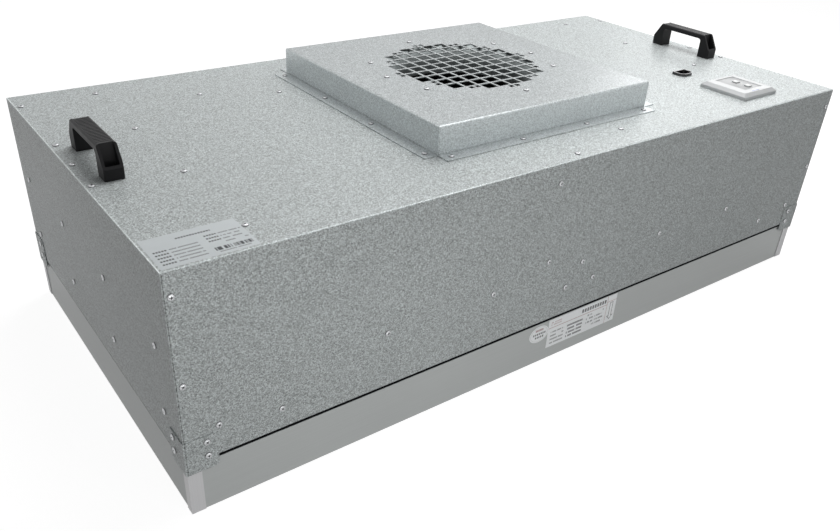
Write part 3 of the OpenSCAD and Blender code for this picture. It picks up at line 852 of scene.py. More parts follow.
# Near black as painted shade for the dark inside of the unit; the real wheel is lighter bare
# metal.
IMPELLER_PAINTED_SHADE = SpunSteel("impeller_painted_shade", (0.06, 0.06, 0.06))
SHAFT_STEEL = Plated("shaft_steel", (0.60, 0.60, 0.62))
BEARING_STEEL = Plated("bearing_steel", (0.70, 0.71, 0.73), roughness=0.18)
SCREW_ZINC = Plated("screw_zinc", (0.50, 0.51, 0.52))
RAIL_ALONG_X = DrawnAluminium("rail_along_x", (0.505, 0.525, 0.52))
RAIL_ALONG_Y = DrawnAluminium("rail_along_y", (0.46, 0.485, 0.48), along=1, metallic=0.15)
CORNER_CAP = DrawnAluminium("corner_cap", (0.68, 0.68, 0.69), along=2)
CAPACITOR_CAN = DrawnAluminium("capacitor_can", (0.74, 0.75, 0.76), along=2)
CAST_BASE = Finish("cast_base", (0.55, 0.56, 0.57), roughness=0.5, metallic=0.7)
ROTOR_PAINT = Enamelled("rotor_paint", (0.07, 0.07, 0.075))
GUARD_PAINT = Enamelled("guard_paint", (0.84, 0.84, 0.83))
SEAL_FOAM = Foam("seal_foam", (0.006, 0.006, 0.007))
MEDIUM = GlassPaper("medium", (0.86, 0.86, 0.83))
HOT_MELT = Moulded("hot_melt", (0.80, 0.79, 0.74), roughness=0.35)
GRIP_NYLON = Moulded("grip_nylon", (0.014, 0.014, 0.015), roughness=0.46, shine=0.16)
SWITCH_WHITE = SwitchPlate(
    "switch_white", (0.60, 0.612, 0.618), roughness=0.34, shine=0.3, relief=0.01 * MM,
    inlay=(0.4105, -0.2325, 0.4565, -0.1765))
KEY_WHITE = Moulded("key_white", (0.62, 0.63, 0.63), roughness=0.3, shine=0.3,
                    relief=0.01 * MM)
SWITCH_BACK = Moulded("switch_back", (0.05, 0.05, 0.055), roughness=0.5)
LENS_BLUE = Moulded("lens_blue", (0.16, 0.22, 0.48), roughness=0.2, coat=0.5, relief=0.01 * MM)
INLET_BLACK = Moulded("inlet_black", (0.012, 0.012, 0.013), roughness=0.22, coat=0.4,
                      relief=0.02 * MM)
CONTACT_NICKEL = Plated("contact_nickel", (0.74, 0.70, 0.58), roughness=0.2)
STAMPINGS = Laminated("stampings", (0.30, 0.31, 0.33))
COPPER = WoundCopper("copper", (0.62, 0.26, 0.10))
DATA_PRINT = Print("data_print", (0.655, 0.692, 0.705), metallic=0.10, shine=0.12,
                   layout=Layout.DATA_LINES)
CARD_PRINT = Print("card_print", (0.93, 0.95, 0.96), metallic=0.20, layout=Layout.FILTER_CARD)
SEAL_PRINT = Print("seal_print", (0.93, 0.95, 0.96), metallic=0.20, layout=Layout.OVAL_SEAL)


# ---------------------------------------------------------------- mesh helpers


def shell_volume(points: np.ndarray, quads: np.ndarray) -> float:
    """Signed volume: the sum of a . (b x c) over the triangles, divided by six.

    Args:
        points: an array (points, 3).
        quads: an array (faces, 4) of their numbers.

    Returns:
        The volume, positive where the faces point outwards.
    """
    corners = points[quads]
    a, b, c, d = (corners[:, i] for i in range(4))
    triangles = np.concatenate([np.stack([a, b, c], 1), np.stack([a, c, d], 1)])
    cross = np.cross(triangles[:, 1], triangles[:, 2])
    return float(np.einsum("ij,ij->", triangles[:, 0], cross) / 6.0)


class Surface:
    """Grids of points, gathered and then made one mesh."""

    def __init__(self) -> None:
        """Starts with no grids."""
        self.points: list[np.ndarray] = []
        self.quads: list[np.ndarray] = []
        self.marks: list[np.ndarray] = []
        self.count = 0

    def grid(self, points: np.ndarray, close_rows: bool = False, close_columns: bool = False,
             facing: Vector | None = None, uv: np.ndarray | None = None) -> "Surface":
        """Adds one grid, or a stack of like grids, as quads between neighbours.

        Args:
            points: an array (..., rows, columns, 3).
            close_rows: whether the last row joins the first.
            close_columns: whether the last column joins the first.
            facing: for an open sheet, a direction that it faces. A closed shell has none, and
                is turned so that its volume is positive.
            uv: an array (..., rows, columns, 2) of the grid's own map.

        Returns:
            The surface itself.
        """
        points = points.reshape(-1, *points.shape[-3:])
        copies, rows, columns, _ = points.shape
        index = np.arange(copies * rows * columns).reshape(copies, rows, columns)
        if close_rows:
            index = np.concatenate([index, index[:, :1]], axis=1)
        if close_columns:
            index = np.concatenate([index, index[:, :, :1]], axis=2)
        quads = np.stack([index[:, :-1, :-1], index[:, 1:, :-1], index[:, 1:, 1:],
                          index[:, :-1, 1:]], axis=-1).reshape(-1, 4)
        flat = points.reshape(-1, 3)
        if facing is None:
            turned = shell_volume(flat - flat.mean(0), quads) < 0
        else:
            a, b, _, d = (flat[quads[:, i]] for i in range(4))
            turned = np.cross(b - a, d - a).sum(0) @ np.array(facing) < 0
        self.points.append(flat)
        self.quads.append((quads[:, ::-1] if turned else quads) + self.count)
        self.marks.append(np.zeros((len(flat), 2)) if uv is None else uv.reshape(-1, 2))
        self.count += len(flat)
        return self

    def build(self, name: str, finish: Finish, slot: str, body: str = UNIT_BODY,
              replaces: tuple[str, ...] = (), crease: float = 32.0) -> bpy.types.Object:
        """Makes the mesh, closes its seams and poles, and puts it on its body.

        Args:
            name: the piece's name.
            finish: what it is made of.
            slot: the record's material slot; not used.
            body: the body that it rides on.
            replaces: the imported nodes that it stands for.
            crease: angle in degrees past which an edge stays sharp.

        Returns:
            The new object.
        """
        mesh = bpy.data.meshes.new(name)
        mesh.from_pydata(np.concatenate(self.points).tolist(), [],
                         np.concatenate(self.quads).tolist())
        loops = np.zeros(len(mesh.loops), np.int32)
        mesh.loops.foreach_get("vertex_index", loops)
        marks = np.concatenate(self.marks)[loops].astype(np.float32)
        mesh.uv_layers.new(name="UVMap").uv.foreach_set("vector", marks.ravel())
        close_seams(mesh)
        return place_piece(mesh, name, finish, body, replaces, crease)


def close_seams(mesh: bpy.types.Mesh, reach: float = 1e-6, flatten: bool = False) -> None:
    """Merges points that lie in one place.

    Args:
        mesh: the mesh.
        reach: the distance that counts as one place, in metres.
        flatten: whether the triangles of one plane become one face as well.
    """
    work = bmesh.new()
    work.from_mesh(mesh)
    bmesh.ops.remove_doubles(work, verts=work.verts, dist=reach)
    if flatten:
        bmesh.ops.dissolve_limit(work, angle_limit=math.radians(FLAT), verts=work.verts,
                                 edges=work.edges)
    work.to_mesh(mesh)
    work.free()


def linked(name: str, data: bpy.types.ID) -> bpy.types.Object:
    """Makes an object and puts it in the scene.

    Args:
        name: its name.
        data: its mesh, camera or light.

    Returns:
        The new object.
    """
    thing = bpy.data.objects.new(name, data)
    bpy.context.scene.collection.objects.link(thing)
    return thing


def place_piece(mesh: bpy.types.Mesh, name: str, finish: Finish, body: str,
                replaces: tuple[str, ...], crease: float) -> bpy.types.Object:
    """Args:
        mesh: the mesh, in the unit's own frame.
        name: the piece's name.
        finish: what it is made of.
        body: the body that it rides on.
        replaces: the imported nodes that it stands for.
        crease: angle in degrees past which an edge stays sharp.

    Returns:
        The new object.
    """
    mesh.shade_smooth()
    mesh.set_sharp_from_angle(angle=math.radians(crease))
    piece = linked(name, mesh)
    mesh.materials.append(finish.material())
    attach(piece, body)
    if replaces:
        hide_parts(*replaces)
    LOG.info("piece %s: %d faces in %s", name, len(mesh.polygons), finish.name)
    return piece


def dress(node: str, finish: Finish) -> None:
    """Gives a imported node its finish.

    Args:
        node: the node's name.
        finish: what it is made of.
    """
    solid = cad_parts[node]
    solid.data.materials.clear()
    solid.data.materials.append(finish.material())
    LOG.info("node %s in %s", node, finish.name)


def eased_copy(node: str, finish: Finish, slot: str, width: float,
               body: str = UNIT_BODY, segments: int = 2) -> bpy.types.Object:
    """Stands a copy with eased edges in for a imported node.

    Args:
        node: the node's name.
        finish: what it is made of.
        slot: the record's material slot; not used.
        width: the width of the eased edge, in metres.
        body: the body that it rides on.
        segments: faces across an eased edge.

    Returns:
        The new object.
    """
    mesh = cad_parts[node].data.copy()
    mesh.materials.clear()
    close_seams(mesh, 2e-6, flatten=True)
    piece = place_piece(mesh, node + "_eased", finish, body, (node,), EASED)
    bevel = piece.modifiers.new("eased_edges", "BEVEL")
    bevel.width, bevel.segments = width, segments
    bevel.limit_method, bevel.angle_limit = "ANGLE", math.radians(EASED)
    bevel.use_clamp_overlap = True
    bevel.harden_normals = False
    return piece


def revolved(profile: np.ndarray, axis: np.ndarray, steps: int = 96) -> np.ndarray:
    """Turns a profile about an upright axis.

    P(i, j) = axis + (r_i cos t_j, r_i sin t_j, z_i), with t_j going once round.

    Args:
        profile: an array (rows, 2) of radius and height.
        axis: a point on the axis.
        steps: columns in the full turn.

    Returns:
        An array (rows, steps, 3).
    """
    turn = np.linspace(0.0, 2.0 * math.pi, steps, endpoint=False)
    radius, height = profile[:, :1], profile[:, 1:]
    return np.stack([axis[0] + radius * np.cos(turn), axis[1] + radius * np.sin(turn),
                     axis[2] + height + 0.0 * turn], axis=-1)


def arc(centre: tuple[float, float], radius: float, start: float, end: float,
        steps: int = 12) -> np.ndarray:
    """Points on a circle's arc: centre + radius (cos a, sin a), a from start to end.

    Args:
        centre: its centre.
        radius: its radius.
        start: the first angle, in degrees.
        end: the last angle, in degrees.
        steps: how many points.

    Returns:
        An array (steps, 2).
    """
    angle = np.radians(np.linspace(start, end, steps))
    return np.stack([centre[0] + radius * np.cos(angle),
                     centre[1] + radius * np.sin(angle)], axis=-1)


def thickened(line: np.ndarray, wall: float) -> np.ndarray:
    """A closed outline: the line, then the same line a wall's width to its left, backwards.

    Args:
        line: an array (n, 2).
        wall: the width.

    Returns:
        An array (2 n, 2).
    """
    along = np.gradient(line, axis=0)
    along /= np.linalg.norm(along, axis=1, keepdims=True)
    left = np.stack([-along[:, 1], along[:, 0]], axis=-1)
    return np.concatenate([line, (line + left * wall)[::-1]])


# ---------------------------------------------------------------- sub-assemblies


@dataclass
class Housing:
    """Folded shell, end walls, corner brackets and the inner sheet work."""

    shell: tuple[str, ...] = ("housing_shell", "end_panel_left", "end_panel_right")
    inner: tuple[str, ...] = (
        "fan_deck", "air_guide_left", "air_guide_right", "seat_angle_front",
        "seat_angle_back", "seat_angle_left", "seat_angle_right", "motor_support",
        "capacitor_bracket")
    ease: float = 0.25 * MM

    def build(self) -> None:
        """Dresses the sheets and eases the brackets' edges."""
        for node in self.shell:
            dress(node, HOUSING_ZINC)
        for node in self.inner:
            dress(node, INNER_ZINC)
        for corner in CORNERS:
            eased_copy("bracket_" + corner, HOUSING_ZINC, "bracket", self.ease)


@dataclass
class Intake:
    """Square hood with its punched grille, and the bell mouth below it."""

    throat: float = 100.0 * MM
    roll: float = 25.0 * MM
    wall: float = 1.2 * MM
    flange: float = 153.0 * MM
    flange_edge: float = 0.6 * MM
    lip: float = 1.0 * MM
    steps: int = 128
    ring: Box = field(default_factory=lambda: box_of("inlet_ring"))

    def mouth_profile(self) -> np.ndarray:
        """Flat flange, quarter roll, straight throat, and a small rolled lip at its end.

        Returns:
            A closed outline of radius and height.
        """
        top, low = float(self.ring[1][2]), float(self.ring[0][2])
        flat = np.array([[self.flange, top], [self.flange - self.flange_edge, top]])
        bend = arc((self.throat + self.roll, top - self.roll), self.roll, 90.0, 180.0, 20)
        lip = np.array([[self.throat, low + self.lip], [self.throat, low]])
        return thickened(np.concatenate([flat, bend, lip]), self.wall)

    def build(self) -> None:
        """Dresses the hood and makes the bell mouth."""
        dress("intake_hood", HOOD_ZINC)
        mouth = revolved(self.mouth_profile(), FAN_AXIS, self.steps)
        Surface().grid(mouth, close_rows=True, close_columns=True).build(
            "bell_mouth", SPUN_MOUTH, "ring", replaces=("inlet_ring",))


@dataclass
class Fan:
    """Motor and backward-curved impeller."""

    fixed: dict[str, Finish] = field(default_factory=lambda: {
        "motor_base": CAST_BASE, "stator_core": STAMPINGS, "stator_windings": COPPER,
        "bearing_lower": BEARING_STEEL, "bearing_upper": BEARING_STEEL,
        "run_capacitor": CAPACITOR_CAN})
    turning: dict[str, Finish] = field(default_factory=lambda: {
        "motor_shaft": SHAFT_STEEL, "rotor_can": ROTOR_PAINT,
        "impeller_wheel": IMPELLER_PAINTED_SHADE})
    rim: Box = field(default_factory=lambda: box_of("impeller_shroud"))
    rim_edge: float = 0.5 * MM
    eye: float = 104.0 * MM
    eye_edge: float = 3.0 * MM
    roll: float = 9.0 * MM
    roll_below: float = 7.0 * MM
    cone_below: float = 16.0 * MM
    wall: float = 1.5 * MM
    steps: int = 128

    def shroud_profile(self) -> np.ndarray:
        """Outer rim, straight cone, short roll into the upright eye.

        Returns:
            A closed outline of radius and height.
        """
        low, high = float(self.rim[0][2]), float(self.rim[1][2])
        rim = float(self.rim[1][0] - FAN_AXIS[0])
        roll = self.eye + self.roll
        cone = np.linspace([rim, low + self.rim_edge], [roll, high - self.cone_below], 12)
        bend = arc((roll, high - self.roll_below), self.roll, -112.0, -180.0, 10)
        eye = np.array([[self.eye, high - self.eye_edge], [self.eye, high]])
        return thickened(np.concatenate([cone, bend, eye]), -self.wall)

    def build(self) -> None:
        """Dresses the motor and makes the smooth shroud."""
        for node, finish in {**self.fixed, **self.turning}.items():
            dress(node, finish)
        shroud = revolved(self.shroud_profile(), FAN_AXIS, self.steps)
        Surface().grid(shroud, close_rows=True, close_columns=True).build(
            "front_shroud", IMPELLER_PAINTED_SHADE, "impeller", ROTOR_BODY, ("impeller_shroud",))


@dataclass
class FilterCassette:
    """Aluminium frame, seal, pleated medium and face guard."""

    pack: Box = field(default_factory=lambda: box_of("filter_pack"))
    pitch: float = 4.2 * MM
    paper: float = 0.45 * MM
    margin: float = 2.0 * MM
    sharpness: float = 1.15
    bead_pitch: float = 25.4 * MM
    bead: float = 0.7 * MM
    bead_swell: float = 0.25
    bead_wave: float = 9.0 * MM
    bead_level: float = 1.6 * MM
    bead_grid: tuple[int, int] = (120, 6)

    def pleats(self) -> np.ndarray:
        """Folded paper: height goes low, low, high, high over each pitch, with narrow folds.

        The height is middle + half the depth * clip(k * triangle(x)), with the sharpness k
        just over 1, so that each fold is a narrow flat. The sheet is carried straight along
        the depth.

        Returns:
            An array (outline points, 2, 3) for a closed outline at the front and the back.
        """
        low, high = self.pack
        pleats = round((high[0] - low[0]) / self.pitch)
        phase = np.linspace(0.0, pleats, pleats * 6 + 1)
        wave = 4.0 * np.abs(phase - np.floor(phase + 0.5)) - 1.0
        x = low[0] + (high[0] - low[0]) * phase / pleats
        middle, half = (low[2] + high[2]) / 2, (high[2] - low[2]) / 2 - self.margin
        z = middle + half * np.clip(self.sharpness * wave, -1.0, 1.0)
        line = np.stack([x, z], axis=-1)
        side = np.where(np.gradient(wave)[:, None] > 0, [-1.0, 0.0], [1.0, 0.0]) * self.paper
        outline = np.concatenate([line, (line + side * 0.5 + [0.0, self.paper])[::-1]])
        outline[:, 0] = np.clip(outline[:, 0], low[0], high[0])
        ends = np.array([low[1], high[1]])
        return np.stack([outline[:, None, 0] + 0 * ends, ends + 0 * outline[:, :1],
                         outline[:, None, 1] + 0 * ends], axis=-1)

    def beads(self) -> np.ndarray:
        """Round beads of glue along the length, on the lower tips of the pleats.

        P(k, i, j) = bead k, point i along the length, angle j about it.

        Returns:
            An array (beads, points, angles, 3).
        """
        low, high = self.pack
        count = int((high[1] - low[1]) / self.bead_pitch)
        y = (np.arange(count) - (count - 1) / 2) * self.bead_pitch
        x = np.linspace(low[0] + 1.0 * MM, high[0] - 1.0 * MM, self.bead_grid[0])
        wave = np.sin(x * 2.0 * math.pi / self.bead_wave)
        swell = self.bead * (1.0 + self.bead_swell * wave)
        swell[[0, -1]] = POLE
        angle = np.linspace(0.0, 2.0 * math.pi, self.bead_grid[1], endpoint=False)
        shape = (count, len(x), len(angle))
        return np.stack([
            np.broadcast_to(x[None, :, None], shape),
            y[:, None, None] + swell[None, :, None] * np.cos(angle),
            np.broadcast_to(low[2] + self.bead_level + swell[None, :, None] * np.sin(angle),
                            shape)], axis=-1)

    def build(self) -> None:
        """Dresses the frame and makes the medium and its beads."""
        for side, finish in (("front", RAIL_ALONG_X), ("back", RAIL_ALONG_X),
                             ("left", RAIL_ALONG_Y), ("right", RAIL_ALONG_Y)):
            dress("filter_rail_" + side, finish)
        for corner in CORNERS:
            dress("filter_cap_" + corner, CORNER_CAP)
        dress("gasket", SEAL_FOAM)
        dress("filter_guard", GUARD_PAINT)
        Surface().grid(self.pleats(), close_rows=True).build(
            "pleated_medium", MEDIUM, "filter_medium", replaces=("filter_pack",))
        Surface().grid(self.beads(), close_columns=True).build(
            "separator_beads", HOT_MELT, "filter_medium")


@dataclass
class Controls:
    """Speed controller with its two keys, and the mains inlet.

    Each eased piece has its finish, slot, width of the eased edge, and body.
    """

    eased: tuple[tuple[str, Finish, str, float, str], ...] = (
        ("controller_plate", SWITCH_WHITE, "controller_plate", 0.7 * MM, UNIT_BODY),
        ("button_back", KEY_WHITE, "button", 0.5 * MM, "button_back"),
        ("button_front", KEY_WHITE, "button", 0.5 * MM, "button_front"),
        ("indicator_lens", LENS_BLUE, "indicator", 0.25 * MM, UNIT_BODY),
        ("power_inlet", INLET_BLACK, "inlet_body", 0.5 * MM, UNIT_BODY))

    def build(self) -> None:
        """Eases the moulded pieces' edges and dresses the rest."""
        for piece in self.eased:
            eased_copy(*piece)
        dress("controller_body", SWITCH_BACK)
        dress("inlet_pins", CONTACT_NICKEL)


@dataclass
class Handles:
    """Two bridge handles."""

    sides: tuple[str, ...] = ("left", "right")
    ease: float = 0.6 * MM

    def build(self) -> None:
        """Eases the handles' edges."""
        for side in self.sides:
            eased_copy("handle_" + side, GRIP_NYLON, "handle", self.ease, segments=3)


@dataclass
class Fasteners:
    """Pan-head screws with a cross recess, one piece for each packed group.

    Each group has a reach in millimetres, as islands() takes it, and its body. A screw whose
    middle is below top_level is in a wall, and long_wall and end_wall tell which.
    """

    groups: tuple[tuple[str, float, str], ...] = (
        ("shell_screws", 11.5, UNIT_BODY), ("end_screws", 11.5, UNIT_BODY),
        ("hood_screws", 11.5, UNIT_BODY), ("bracket_screws", 11.5, UNIT_BODY),
        ("handle_screws", 21.0, UNIT_BODY), ("motor_screws", 15.5, UNIT_BODY),
        ("impeller_screws", 11.5, ROTOR_BODY))
    head: float = 4.0 * MM
    rise: float = 1.9 * MM
    dome: float = 0.35 * MM
    shank: float = 1.8 * MM
    tip: float = 1.2 * MM
    recess: float = 1.4 * MM
    star: tuple[float, float] = (0.28, 0.46)
    columns: int = 16
    recess_rows: int = 2
    foot_row: int = 5
    top_level: float = 0.312
    long_wall: float = 0.280
    end_wall: float = 0.580
    seed: int = 7

    def islands(self, node: str, reach: float) -> np.ndarray:
        """Finds each screw of a packed group from its points.

        Args:
            node: the group's node.
            reach: millimetres, more than one screw's size and less than the gap to the next.

        Returns:
            An array (screws, 2, 3) of lowest and highest corners.
        """
        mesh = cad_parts[node].data
        points = np.empty(len(mesh.vertices) * 3, np.float32)
        mesh.vertices.foreach_get("co", points)
        points = np.unique(points.reshape(-1, 3).round(5), axis=0)
        found = []
        while len(points):
            near = np.linalg.norm(points - points[0], axis=1) < reach * MM
            found.append([points[near].min(0), points[near].max(0)])
            points = points[~near]
        return np.array(found, float)

    def directions(self, islands: np.ndarray) -> np.ndarray:
        """Outward directions: up, or out of the long or end wall that the screw is in.

        Args:
            islands: what islands() gives.

        Returns:
            An array (screws, 3) of directions along one axis.
        """
        middle = islands.mean(1)
        out = np.zeros_like(middle)
        low = middle[:, 2] < self.top_level
        wall = low & (np.abs(middle[:, 1]) > self.long_wall)
        end = low & ~wall & (np.abs(middle[:, 0]) > self.end_wall)
        out[wall, 1] = np.sign(middle[wall, 1])
        out[end, 0] = np.sign(middle[end, 0])
        out[~wall & ~end, 2] = 1.0
        return out

    def screw(self, length: float) -> np.ndarray:
        """One screw about +Z with its seat at the origin.

        Rows go from the middle of the recess over the dome, down the rim, in under the head,
        down the shank and to the tip. The recess's edge is a four-armed star: its radius is
        0.28 + 0.46 * max(0, cos 4t) ^ 2 of the head's.

        Args:
            length: the shank's length, in metres.

        Returns:
            An array (rows, columns, 3).
        """
        turn = np.linspace(0.0, 2.0 * math.pi, self.columns, endpoint=False)
        arms = np.maximum(0.0, np.cos(4.0 * turn)) ** 2
        star = self.head * (self.star[0] + self.star[1] * arms)
        floor = self.rise - self.recess
        rows = (
            (POLE, floor),
            (star * 0.72, floor),
            (star, self.rise - self.dome * (star / self.head) ** 2),
            (self.head * 0.78, self.rise - 0.25 * MM),
            (self.head * 0.93, self.rise * 0.62),
            (self.head, self.rise * 0.22),
            (self.head, 0.0),
            (self.shank, 0.0),
            (self.shank, self.tip - length),
            (POLE, -length))
        radius, height = (np.array([row[i] + 0.0 * turn for row in rows]) for i in (0, 1))
        return np.stack([radius * np.cos(turn), radius * np.sin(turn), height], axis=-1)

    def painted_shade(self, shape: tuple[int, ...]) -> np.ndarray:
        """A map of painted shade: 1 on the recess's rows and from the head's foot down, else 0.

        Args:
            shape: the shape of the screws' points, (screws, rows, columns, 3).

        Returns:
            An array (screws, rows, columns, 2).
        """
        marks = np.zeros((*shape[:-1], 2))
        marks[:, :self.recess_rows] = 1.0
        marks[:, self.foot_row:] = 1.0
        return marks

    def placed(self, node: str, reach: float, dice: np.random.Generator) -> np.ndarray:
        """All the screws of a group, each turned by its own chance angle.

        Args:
            node: the group's node.
            reach: as islands() takes it.
            dice: the seeded source of the angles.

        Returns:
            An array (screws, rows, columns, 3).
        """
        islands = self.islands(node, reach)
        out = self.directions(islands)
        size = np.abs((islands[:, 1] - islands[:, 0]) * out).sum(1)
        one = self.screw(float(np.median(size)) - self.rise)
        helper = np.where(np.abs(out[:, 2:]) > 0.5, [[1.0, 0.0, 0.0]], [[0.0, 0.0, 1.0]])
        across = np.cross(helper, out)
        up = np.cross(out, across)
        spin = dice.uniform(0.0, math.pi / 2, len(out))[:, None]
        first = across * np.cos(spin) + up * np.sin(spin)
        second = np.cross(out, first)
        basis = np.stack([first, second, out], axis=1)
        tip = np.where(out > 0, islands[:, 1], islands[:, 0])
        seat = np.where(out != 0, tip - out * self.rise, islands.mean(1))
        return np.einsum("rck,nkd->nrcd", one, basis) + seat[:, None, None]

    def build(self) -> None:
        """Makes one piece for each group."""
        dice = np.random.default_rng(self.seed)
        for node, reach, body in self.groups:
            screws = self.placed(node, reach, dice)
            Surface().grid(screws, close_columns=True, uv=self.painted_shade(screws.shape)).build(
                node + "_crossed", SCREW_ZINC, "screws", body, (node,))


@dataclass
class Labels:
    """Generic prints on the top sheet and the filter's front rail."""

    film: float = 0.12 * MM
    lift: float = 0.03 * MM
    card_grid: tuple[int, int] = (12, 8)
    seal_grid: tuple[int, int] = (8, 48)
    data_corner: tuple[float, float] = (-584.0, -284.0)
    data_size: tuple[float, float] = (104.0, 66.0)
    card_corner: tuple[float, float] = (-32.0, 19.0)
    card_size: tuple[float, float] = (147.0, 49.0)
    seal_centre: tuple[float, float] = (-50.5, 51.0)
    seal_size: tuple[float, float] = (38.0, 28.0)

    def card(self, name: str, corner: np.ndarray, up: np.ndarray, out: np.ndarray,
             size: tuple[float, float], finish: Print, slot: str) -> bpy.types.Object:
        """A flat card whose map is in millimetres: P = corner + u X + v up, lifted outwards.

        Args:
            name: the piece's name.
            corner: its lower left corner, in metres.
            up: the direction of its height; its width lies along +X.
            out: the direction that it faces.
            size: width and height in millimetres.
            finish: its print.
            slot: the record's material slot.

        Returns:
            The new object.
        """
        u = np.linspace(0.0, size[0], self.card_grid[0])[:, None, None]
        v = np.linspace(0.0, size[1], self.card_grid[1])[None, :, None]
        points = corner + u * MM * np.array([1.0, 0.0, 0.0]) + v * MM * up + out * self.lift
        uv = np.concatenate([u + 0 * v, v + 0 * u], axis=-1)
        piece = Surface().grid(points, facing=Vector(out), uv=uv).build(name, finish, slot)
        self.thicken(piece)
        return piece

    def seal(self) -> bpy.types.Object:
        """An oval card: P = centre + s (a cos t X + b sin t Z), s from 0 to 1.

        Returns:
            The new object.
        """
        half = np.array(self.seal_size) / 2
        share = np.linspace(1e-6, 1.0, self.seal_grid[0])[:, None]
        turn = np.linspace(0.0, 2.0 * math.pi, self.seal_grid[1], endpoint=False)[None, :]
        x, z = share * half[0] * np.cos(turn), share * half[1] * np.sin(turn)
        face = float(box_of("filter_rail_front")[0][1]) - self.lift
        points = np.stack([(x + self.seal_centre[0]) * MM, face + 0 * x,
                           (z + self.seal_centre[1]) * MM], axis=-1)
        uv = np.stack([x + half[0], z + half[1]], axis=-1)
        piece = Surface().grid(points, close_columns=True, facing=Vector((0, -1, 0)),
                               uv=uv).build("oval_seal", SEAL_PRINT, "filter_frame")
        self.thicken(piece)
        return piece

    def thicken(self, piece: bpy.types.Object) -> None:
        """Gives a flat card its film's thickness, outwards.

        Args:
            piece: the card.
        """
        piece.data.shade_flat()
        solid = piece.modifiers.new("film", "SOLIDIFY")
        solid.thickness, solid.offset = self.film, 1.0

    def build(self) -> None:
        """Makes the three prints."""
        top = float(box_of("housing_shell")[1][2])
        face = float(box_of("filter_rail_front")[0][1])
        up, depth = np.array([0.0, 0.0, 1.0]), np.array([0.0, 1.0, 0.0])
        corner = np.array([*self.data_corner, 0.0]) * MM + up * top
        self.card("data_lines", corner, depth, up, self.data_size, DATA_PRINT, "shell")
        corner = np.array([self.card_corner[0] * MM, face, self.card_corner[1] * MM])
        self.card("filter_card", corner, up, -depth, self.card_size, CARD_PRINT, "filter_frame")
        self.seal()


# ---------------------------------------------------------------- studio


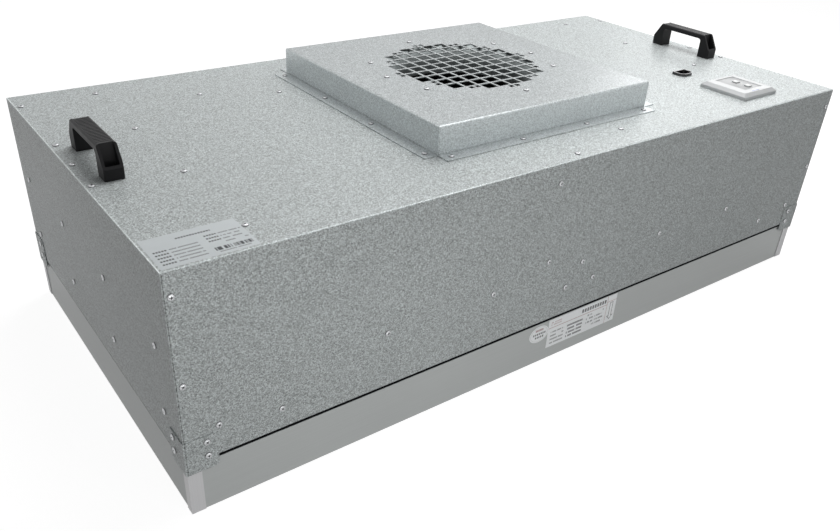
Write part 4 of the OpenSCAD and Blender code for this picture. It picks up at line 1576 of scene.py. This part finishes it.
@dataclass
class Studio:
    """Camera, floor, world and lamps.

    Each lamp has its name, place, aim, side in metres and power in watts.
    """

    tilt: float = 58.405
    pan: float = -37.848
    roll: float = 3.191
    place: Point = (-0.7938, -0.9450, 0.7131)
    focal: float = 808.9
    centre: tuple[float, float] = (415.8, 291.4)
    frame_size: tuple[int, int] = (840, 531)
    sensor: float = 36.0
    sight: tuple[float, float] = (0.02, 60.0)
    floor_half: float = 9.0
    floor_grey: float = 0.28
    floor_glow: float = 0.92
    daylight: float = 0.17
    lamps: tuple[tuple[str, Point, Point, float, float], ...] = (
        ("key", (0.6, 0.55, 2.0), (0.2, 0.1, 0.3), 1.4, 26.5),
        ("glare", (1.9, 0.7, 1.2), (0.15, -0.25, 0.32), 0.9, 6.5),
        ("apron", (0.26, -0.46, 1.0), (0.20, -0.27, 0.32), 0.4, 1.6),
        ("fill", (-0.40, -0.95, 0.12), (-0.34, -0.28, 0.12), 0.5, 1.95))

    def camera(self) -> None:
        """Pan about Z, tilt about X, then roll about the line of sight."""
        data = bpy.data.cameras.new("camera")
        width, height = self.frame_size
        data.sensor_fit, data.sensor_width = "HORIZONTAL", self.sensor
        data.lens = self.sensor * self.focal / width
        data.shift_x = (width / 2 - self.centre[0]) / width
        data.shift_y = (self.centre[1] - height / 2) / width
        data.clip_start, data.clip_end = self.sight
        eye = linked("camera", data)
        turn = (Matrix.Rotation(math.radians(self.pan), 4, "Z")
                @ Matrix.Rotation(math.radians(self.tilt), 4, "X")
                @ Matrix.Rotation(math.radians(self.roll), 4, "Z"))
        eye.matrix_world = Matrix.Translation(self.place) @ turn
        bpy.context.scene.camera = eye

    def seen_directly(self, kit: NodeKit) -> Val:
        """Tells the rays that show the background: camera, glossy and transmission.

        Args:
            kit: adds the nodes.

        Returns:
            1 for such a ray, else 0.
        """
        path = kit.add("ShaderNodeLightPath")
        rays = [Val(kit, path.outputs[name]) for name in
                ("Is Camera Ray", "Is Glossy Ray", "Is Transmission Ray")]
        return rays[0].either(rays[1]).either(rays[2])

    def floor(self) -> None:
        """A pale floor that reads white to the eye and keeps the unit's shadow."""
        half = self.floor_half
        mesh = bpy.data.meshes.new("floor")
        mesh.from_pydata([(-half, -half, 0), (half, -half, 0), (half, half, 0),
                          (-half, half, 0)], [], [(0, 1, 2, 3)])
        ground = linked("floor", mesh)
        material = bpy.data.materials.new("floor")
        material.use_nodes = True
        kit = NodeKit(material.node_tree)
        plain = kit.add("ShaderNodeBsdfDiffuse", {}, {"Color": (self.floor_grey,) * 3})
        glow = kit.add("ShaderNodeEmission", {}, {"Color": (1.0, 1.0, 1.0),
                                                  "Strength": self.floor_glow})
        both = kit.add("ShaderNodeAddShader", {}, {0: plain.outputs[0], 1: glow.outputs[0]})
        choice = kit.add("ShaderNodeMixShader", {}, {
            0: self.seen_directly(kit), 1: plain.outputs[0], 2: both.outputs[0]})
        kit.add("ShaderNodeOutputMaterial", {}, {"Surface": choice.outputs[0]})
        mesh.materials.append(material)

    def world(self) -> None:
        """White where it is seen, and a soft grey light elsewhere."""
        world = bpy.data.worlds.new("studio")
        bpy.context.scene.world = world
        world.use_nodes = True
        kit = NodeKit(world.node_tree)
        strength = self.daylight + self.seen_directly(kit) * (1.0 - self.daylight)
        back = kit.add("ShaderNodeBackground", {}, {"Color": (1.0, 1.0, 1.0),
                                                    "Strength": strength})
        kit.add("ShaderNodeOutputWorld", {}, {"Surface": back.outputs[0]})

    def lamp(self, name: str, place: Point, aim: Point, size: float, power: float) -> None:
        """One square soft lamp.

        Args:
            name: its name.
            place: where it stands, in metres.
            aim: the point that it faces.
            size: its side, in metres.
            power: its power, in watts.
        """
        data = bpy.data.lights.new(name, "AREA")
        data.shape, data.size, data.energy = "SQUARE", size, power
        facing = (Vector(aim) - Vector(place)).to_track_quat("-Z", "Y")
        turn = facing.to_matrix().to_4x4()
        linked(name, data).matrix_world = Matrix.Translation(place) @ turn

    def build(self) -> None:
        """Sets up the whole studio."""
        bpy.context.scene.view_settings.view_transform = "Standard"
        self.camera()
        self.floor()
        self.world()
        for lamp in self.lamps:
            self.lamp(*lamp)


def main() -> None:
    """Builds the studio and every sub-assembly."""
    logging.basicConfig(level=logging.INFO, format="%(name)s: %(message)s")
    parts = (Studio(), Housing(), Intake(), Fan(), FilterCassette(), Controls(), Handles(),
             Fasteners(), Labels())
    for part in parts:
        part.build()
        LOG.info("built %s", type(part).__name__)


if __name__ == "__main__":
    main()
